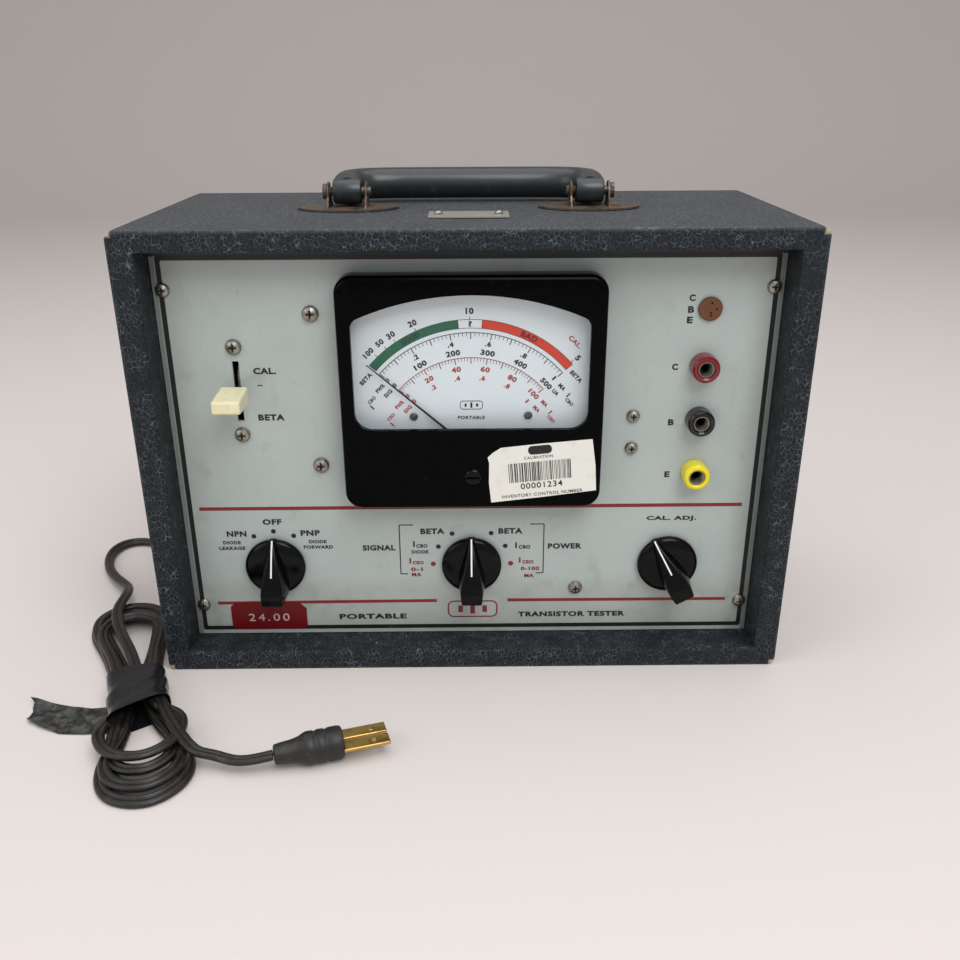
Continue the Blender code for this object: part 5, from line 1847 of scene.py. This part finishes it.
@dataclass
class DialPrint:
    """The printed scales of the meter."""

    face: float = DIAL_FACE
    sweep: float = 48.8
    band: tuple[float, float] = (0.0543, 0.0578)
    black_arc: float = 0.0524
    red_arc: float = 0.0415
    slant: float = 46.0

    def ink(self) -> Printer:
        """A printer whose ink lies over the coloured bands."""
        return Printer(self.face - OVERPRINT_LIFT, OVERPRINT_DEPTH)

    def words(self, ink: Printer, rows: Iterable[tuple[str, float, float, float, float]]) -> None:
        """Print words that lean with the dial.

        Args:
            ink: Printer to use.
            rows: (text, degrees, radius, width, height), the last three in millimetres.
        """
        for text, angle, radius, wide, tall in rows:
            lean = max(-self.slant, min(self.slant, angle))
            ink.word(text, polar(PIVOT, radius / 1000, angle), wide / 1000, tall / 1000, -lean, 0.044)

    def scale(self, ticks: Printer, line: Printer, arc: float) -> None:
        """Print one scale's arc and its fifty divisions.

        Args:
            ticks: Printer for the divisions.
            line: Printer for the arc.
            arc: Radius of the arc.
        """
        line.band(PIVOT, arc - 0.00030, arc, -self.sweep, self.sweep)
        for tick in range(51):
            angle = -self.sweep + 2 * self.sweep * tick / 50
            tall = tick % 5 == 0
            ticks.ray(PIVOT, arc - (0.0028 if tall else 0.0017), arc, angle, 0.00038 if tall else 0.00022)

    def build(self) -> None:
        """Print the coloured band, the two scales and their figures."""
        for name, finish, start, end in (
            ("dial_good_band", DIAL_GREEN, -self.sweep, -5.4),
            ("dial_bad_band", DIAL_ORANGE, 4.9, self.sweep),
        ):
            ink = Printer(self.face)
            ink.band(PIVOT, *self.band, start, end)
            ink.press(name, finish)
        self.black()
        self.red()

    def black(self) -> None:
        """Print the black scale."""
        ink = self.ink()
        low, high = self.band
        line = 0.00020
        ink.band(PIVOT, low - line, low, -self.sweep, self.sweep)
        ink.band(PIVOT, high, high + line, -self.sweep, self.sweep)
        for angle in (-self.sweep, -5.4, 4.9, self.sweep):
            ink.ray(PIVOT, low, high, angle, line)
        self.scale(ink, ink, self.black_arc)
        for angle in (-43.6, -38.4, -33.6, -23.6, -0.4, 47.6):
            ink.ray(PIVOT, high, high + 0.0014, angle, 0.00028)
        self.words(ink, [
            (".2", -29.6, 47.9, 2.4, 2.3), (".4", -10.4, 47.8, 2.6, 2.3), (".6", 8.9, 47.8, 2.6, 2.3),
            (".8", 28.2, 47.8, 2.6, 2.3), ("1", 48.2, 48.0, 0.8, 2.2), ("0", -48.8, 48.0, 1.4, 2.0),
            ("100", -29.6, 43.9, 5.9, 2.4), ("200", -10.0, 43.9, 6.1, 2.5), ("300", 9.4, 43.9, 6.1, 2.5),
            ("400", 28.8, 43.9, 6.1, 2.5), ("500", 47.6, 43.9, 5.9, 2.4), ("0", -48.4, 44.2, 1.4, 2.0),
            ("10", -0.4, 61.5, 3.4, 2.7), ("20", -23.6, 61.5, 3.7, 2.6), ("30", -33.4, 61.5, 3.7, 2.6),
            ("50", -38.9, 61.7, 3.6, 2.5), ("100", -45.0, 61.8, 5.0, 2.5), ("5", 48.2, 61.4, 1.9, 2.6),
            ("BETA", -54.6, 55.6, 6.6, 2.0), ("BETA", 54.2, 55.8, 6.6, 2.0),
            ("PWR", -54.6, 48.2, 4.8, 1.9), ("SIG", -54.6, 44.2, 4.2, 1.9), ("UA", 55.0, 44.6, 3.2, 1.9),
            ("MA", 54.6, 48.2, 3.5, 1.9), ("CBO", -62.4, 48.8, 4.3, 1.6), ("I", -65.9, 47.4, 0.6, 2.4),
            ("I", 60.0, 48.6, 0.6, 2.4), ("CBO", 63.6, 47.6, 4.3, 1.6),
            ("?", -0.3, 56.05, 1.6, 2.5),
        ])
        ink.badge((PIVOT[0], 0.1263), (0.0100, 0.0040), 0.0013, 0.0003, (0.0025, 0.0007, 0.0012, 0.0009), 4)
        ink.word("PORTABLE", (PIVOT[0], 0.1206), 0.0118, 0.0015, 0.0, 0.03)
        ink.press("dial_black_scale", DIAL_BLACK)
        for name, finish, row in (
            ("dial_good_word", DIAL_GOOD, ("GOOD", -27.2, 56.05, 8.5, 2.4)),
            ("dial_bad_word", DIAL_BAD, ("BAD", 26.2, 56.05, 7.4, 2.5)),
        ):
            ink = self.ink()
            self.words(ink, [row])
            ink.press(name, finish)

    def red(self) -> None:
        """Print the red scale."""
        ink, ticks = self.ink(), self.ink()
        self.scale(ticks, ink, self.red_arc)
        self.words(ink, [
            ("20", -29.6, 36.6, 3.9, 2.3), ("40", -10.0, 36.6, 4.0, 2.4), ("60", 9.6, 36.6, 4.0, 2.4),
            ("80", 29.0, 36.6, 4.0, 2.4), ("100", 47.4, 36.8, 5.3, 2.3), ("0", -48.4, 36.9, 1.4, 2.0),
            (".2", -30.0, 32.6, 2.2, 2.1), (".4", -10.6, 32.6, 2.5, 2.2), (".6", 8.6, 32.6, 2.5, 2.2),
            (".8", 28.4, 32.6, 2.5, 2.2), ("1", 48.2, 32.6, 0.8, 2.0), ("0", -48.4, 33.2, 1.4, 2.0),
            ("PWR", -56.8, 37.3, 4.6, 1.8), ("SIG", -56.4, 33.3, 4.1, 1.8),
            ("CEO", -67.2, 38.2, 4.2, 1.5), ("I", -71.8, 36.6, 0.6, 2.3),
            ("MA", 57.2, 37.9, 3.4, 1.8), ("MA", 57.6, 33.7, 3.4, 1.8),
            ("I", 64.4, 38.2, 0.6, 2.3), ("CEO", 69.0, 37.4, 4.2, 1.5),
        ])
        ink.word("CAL.", (0.0449, 0.1541), 0.0068, 0.0021, -44.0, 0.03)
        ink.press("dial_red_scale", DIAL_RED)
        ticks.press("dial_red_ticks", DIAL_MAROON)


@dataclass
class Stickers:
    """The embossed price strip on the panel and the torn inventory label on the meter."""

    def build(self) -> None:
        """Make both."""
        self.price()
        self.inventory()

    def price(self) -> None:
        """The red embossing-tape strip with raised white figures."""
        x0, x1, z0, z1, cut = -0.1158, -0.0796, 0.0118, 0.0262, 0.0020
        outline = [
            (x0 + cut, z0), (x1 - cut, z0), (x1, z0 + cut), (x1, z1 - cut * 1.6), (x1 - cut * 1.6, z1),
            (x0 + cut, z1), (x0, z1 - cut), (x0, z0 + cut),
        ]
        strip = Bench.sheet_of("price_strip", outline, 0.0003)
        Bench.place(strip, Matrix.Translation((0, PANEL_FACE - 0.0001, 0)))
        Bench.finish(strip, RED_TAPE, Body.TESTER)
        figures = Printer(PANEL_FACE - 0.0004, 0.00018)
        for text, x in (("2", -0.1060), ("4", -0.1014), (".", -0.0980), ("0", -0.0942), ("0", -0.0896)):
            z, wide, tall = (0.0168, 0.0008, 0.0008) if text == "." else (0.0184, 0.0031, 0.0040)
            figures.word(text, (x, z), wide, tall, 0.0, 0.0)
        figures.press("price_figures", EMBOSS_WHITE)

    def inventory(self) -> None:
        """The white paper label with bars and figures, its corner torn."""
        face = METER_FACE - 0.0001
        outline = [
            (0.0098, 0.1073), (0.0132, 0.1095), (0.0300, 0.1113), (0.0529, 0.1133), (0.0547, 0.1010),
            (0.0554, 0.0892), (0.0320, 0.0862), (0.0090, 0.0836), (0.0080, 0.0930), (0.0081, 0.1024),
            (0.0074, 0.1050),
        ]
        label = Bench.sheet_of("inventory_label", outline, 0.00015)
        Bench.place(label, Matrix.Translation((0, face, 0)))
        Bench.finish(label, PAPER, Body.TESTER)
        ink = Printer(face - 0.00015)
        tilt = 5.2
        rng = random.Random(11)
        first, end = 0.0172, 0.0446
        x = first
        while x < end:
            wide = rng.choice((0.00018, 0.00030, 0.00046))
            base = 0.0974 + (x - first) * math.tan(math.radians(tilt))
            ink.bar((x, base - 0.0045), (x - 0.0007, base + 0.0045), wide)
            x += wide + rng.choice((0.00022, 0.00034, 0.00050))
        ink.word("00001234", (0.0312, 0.0921), 0.0185, 0.0028, tilt, 0.012)
        ink.word("INVENTORY CONTROL NUMBER", (0.0316, 0.0878), 0.0356, 0.0015, tilt, 0.01)
        ink.word("CALIBRATION", (0.0296, 0.1052), 0.0125, 0.0013, tilt, 0.01)
        c, s = math.cos(math.radians(tilt)), math.sin(math.radians(tilt))
        badge = rounded_outline(0.0104, 0.0040, 0.0018, 5)
        ink.shape([(0.0302 + a * c - b * s, 0.1086 + a * s + b * c) for a, b in badge])
        ink.press("inventory_print", INK_BLACK)


def main() -> None:
    """Build every sub-assembly in order."""
    logging.basicConfig(level=logging.INFO, format="%(name)s: %(message)s")
    Studio().build()
    knobs = (
        PointerKnob("function", -0.0920, 0.0, Body.FUNCTION_KNOB),
        PointerKnob("range", 0.0, 0.0, Body.RANGE_KNOB),
        PointerKnob("calibrate", 0.0920, -29.0, Body.CALIBRATE_KNOB),
    )
    lead, dressing = MainsLead(), Carried()
    prints = (PanelPrint(), DialPrint(), Stickers())
    for assembly in (lead, dressing, CarryHandle(), MeterCover(), *knobs, ScrewRecessFill(), *prints):
        assembly.build()
        LOG.info("%s built", type(assembly).__name__)


if __name__ == "__main__":
    main()
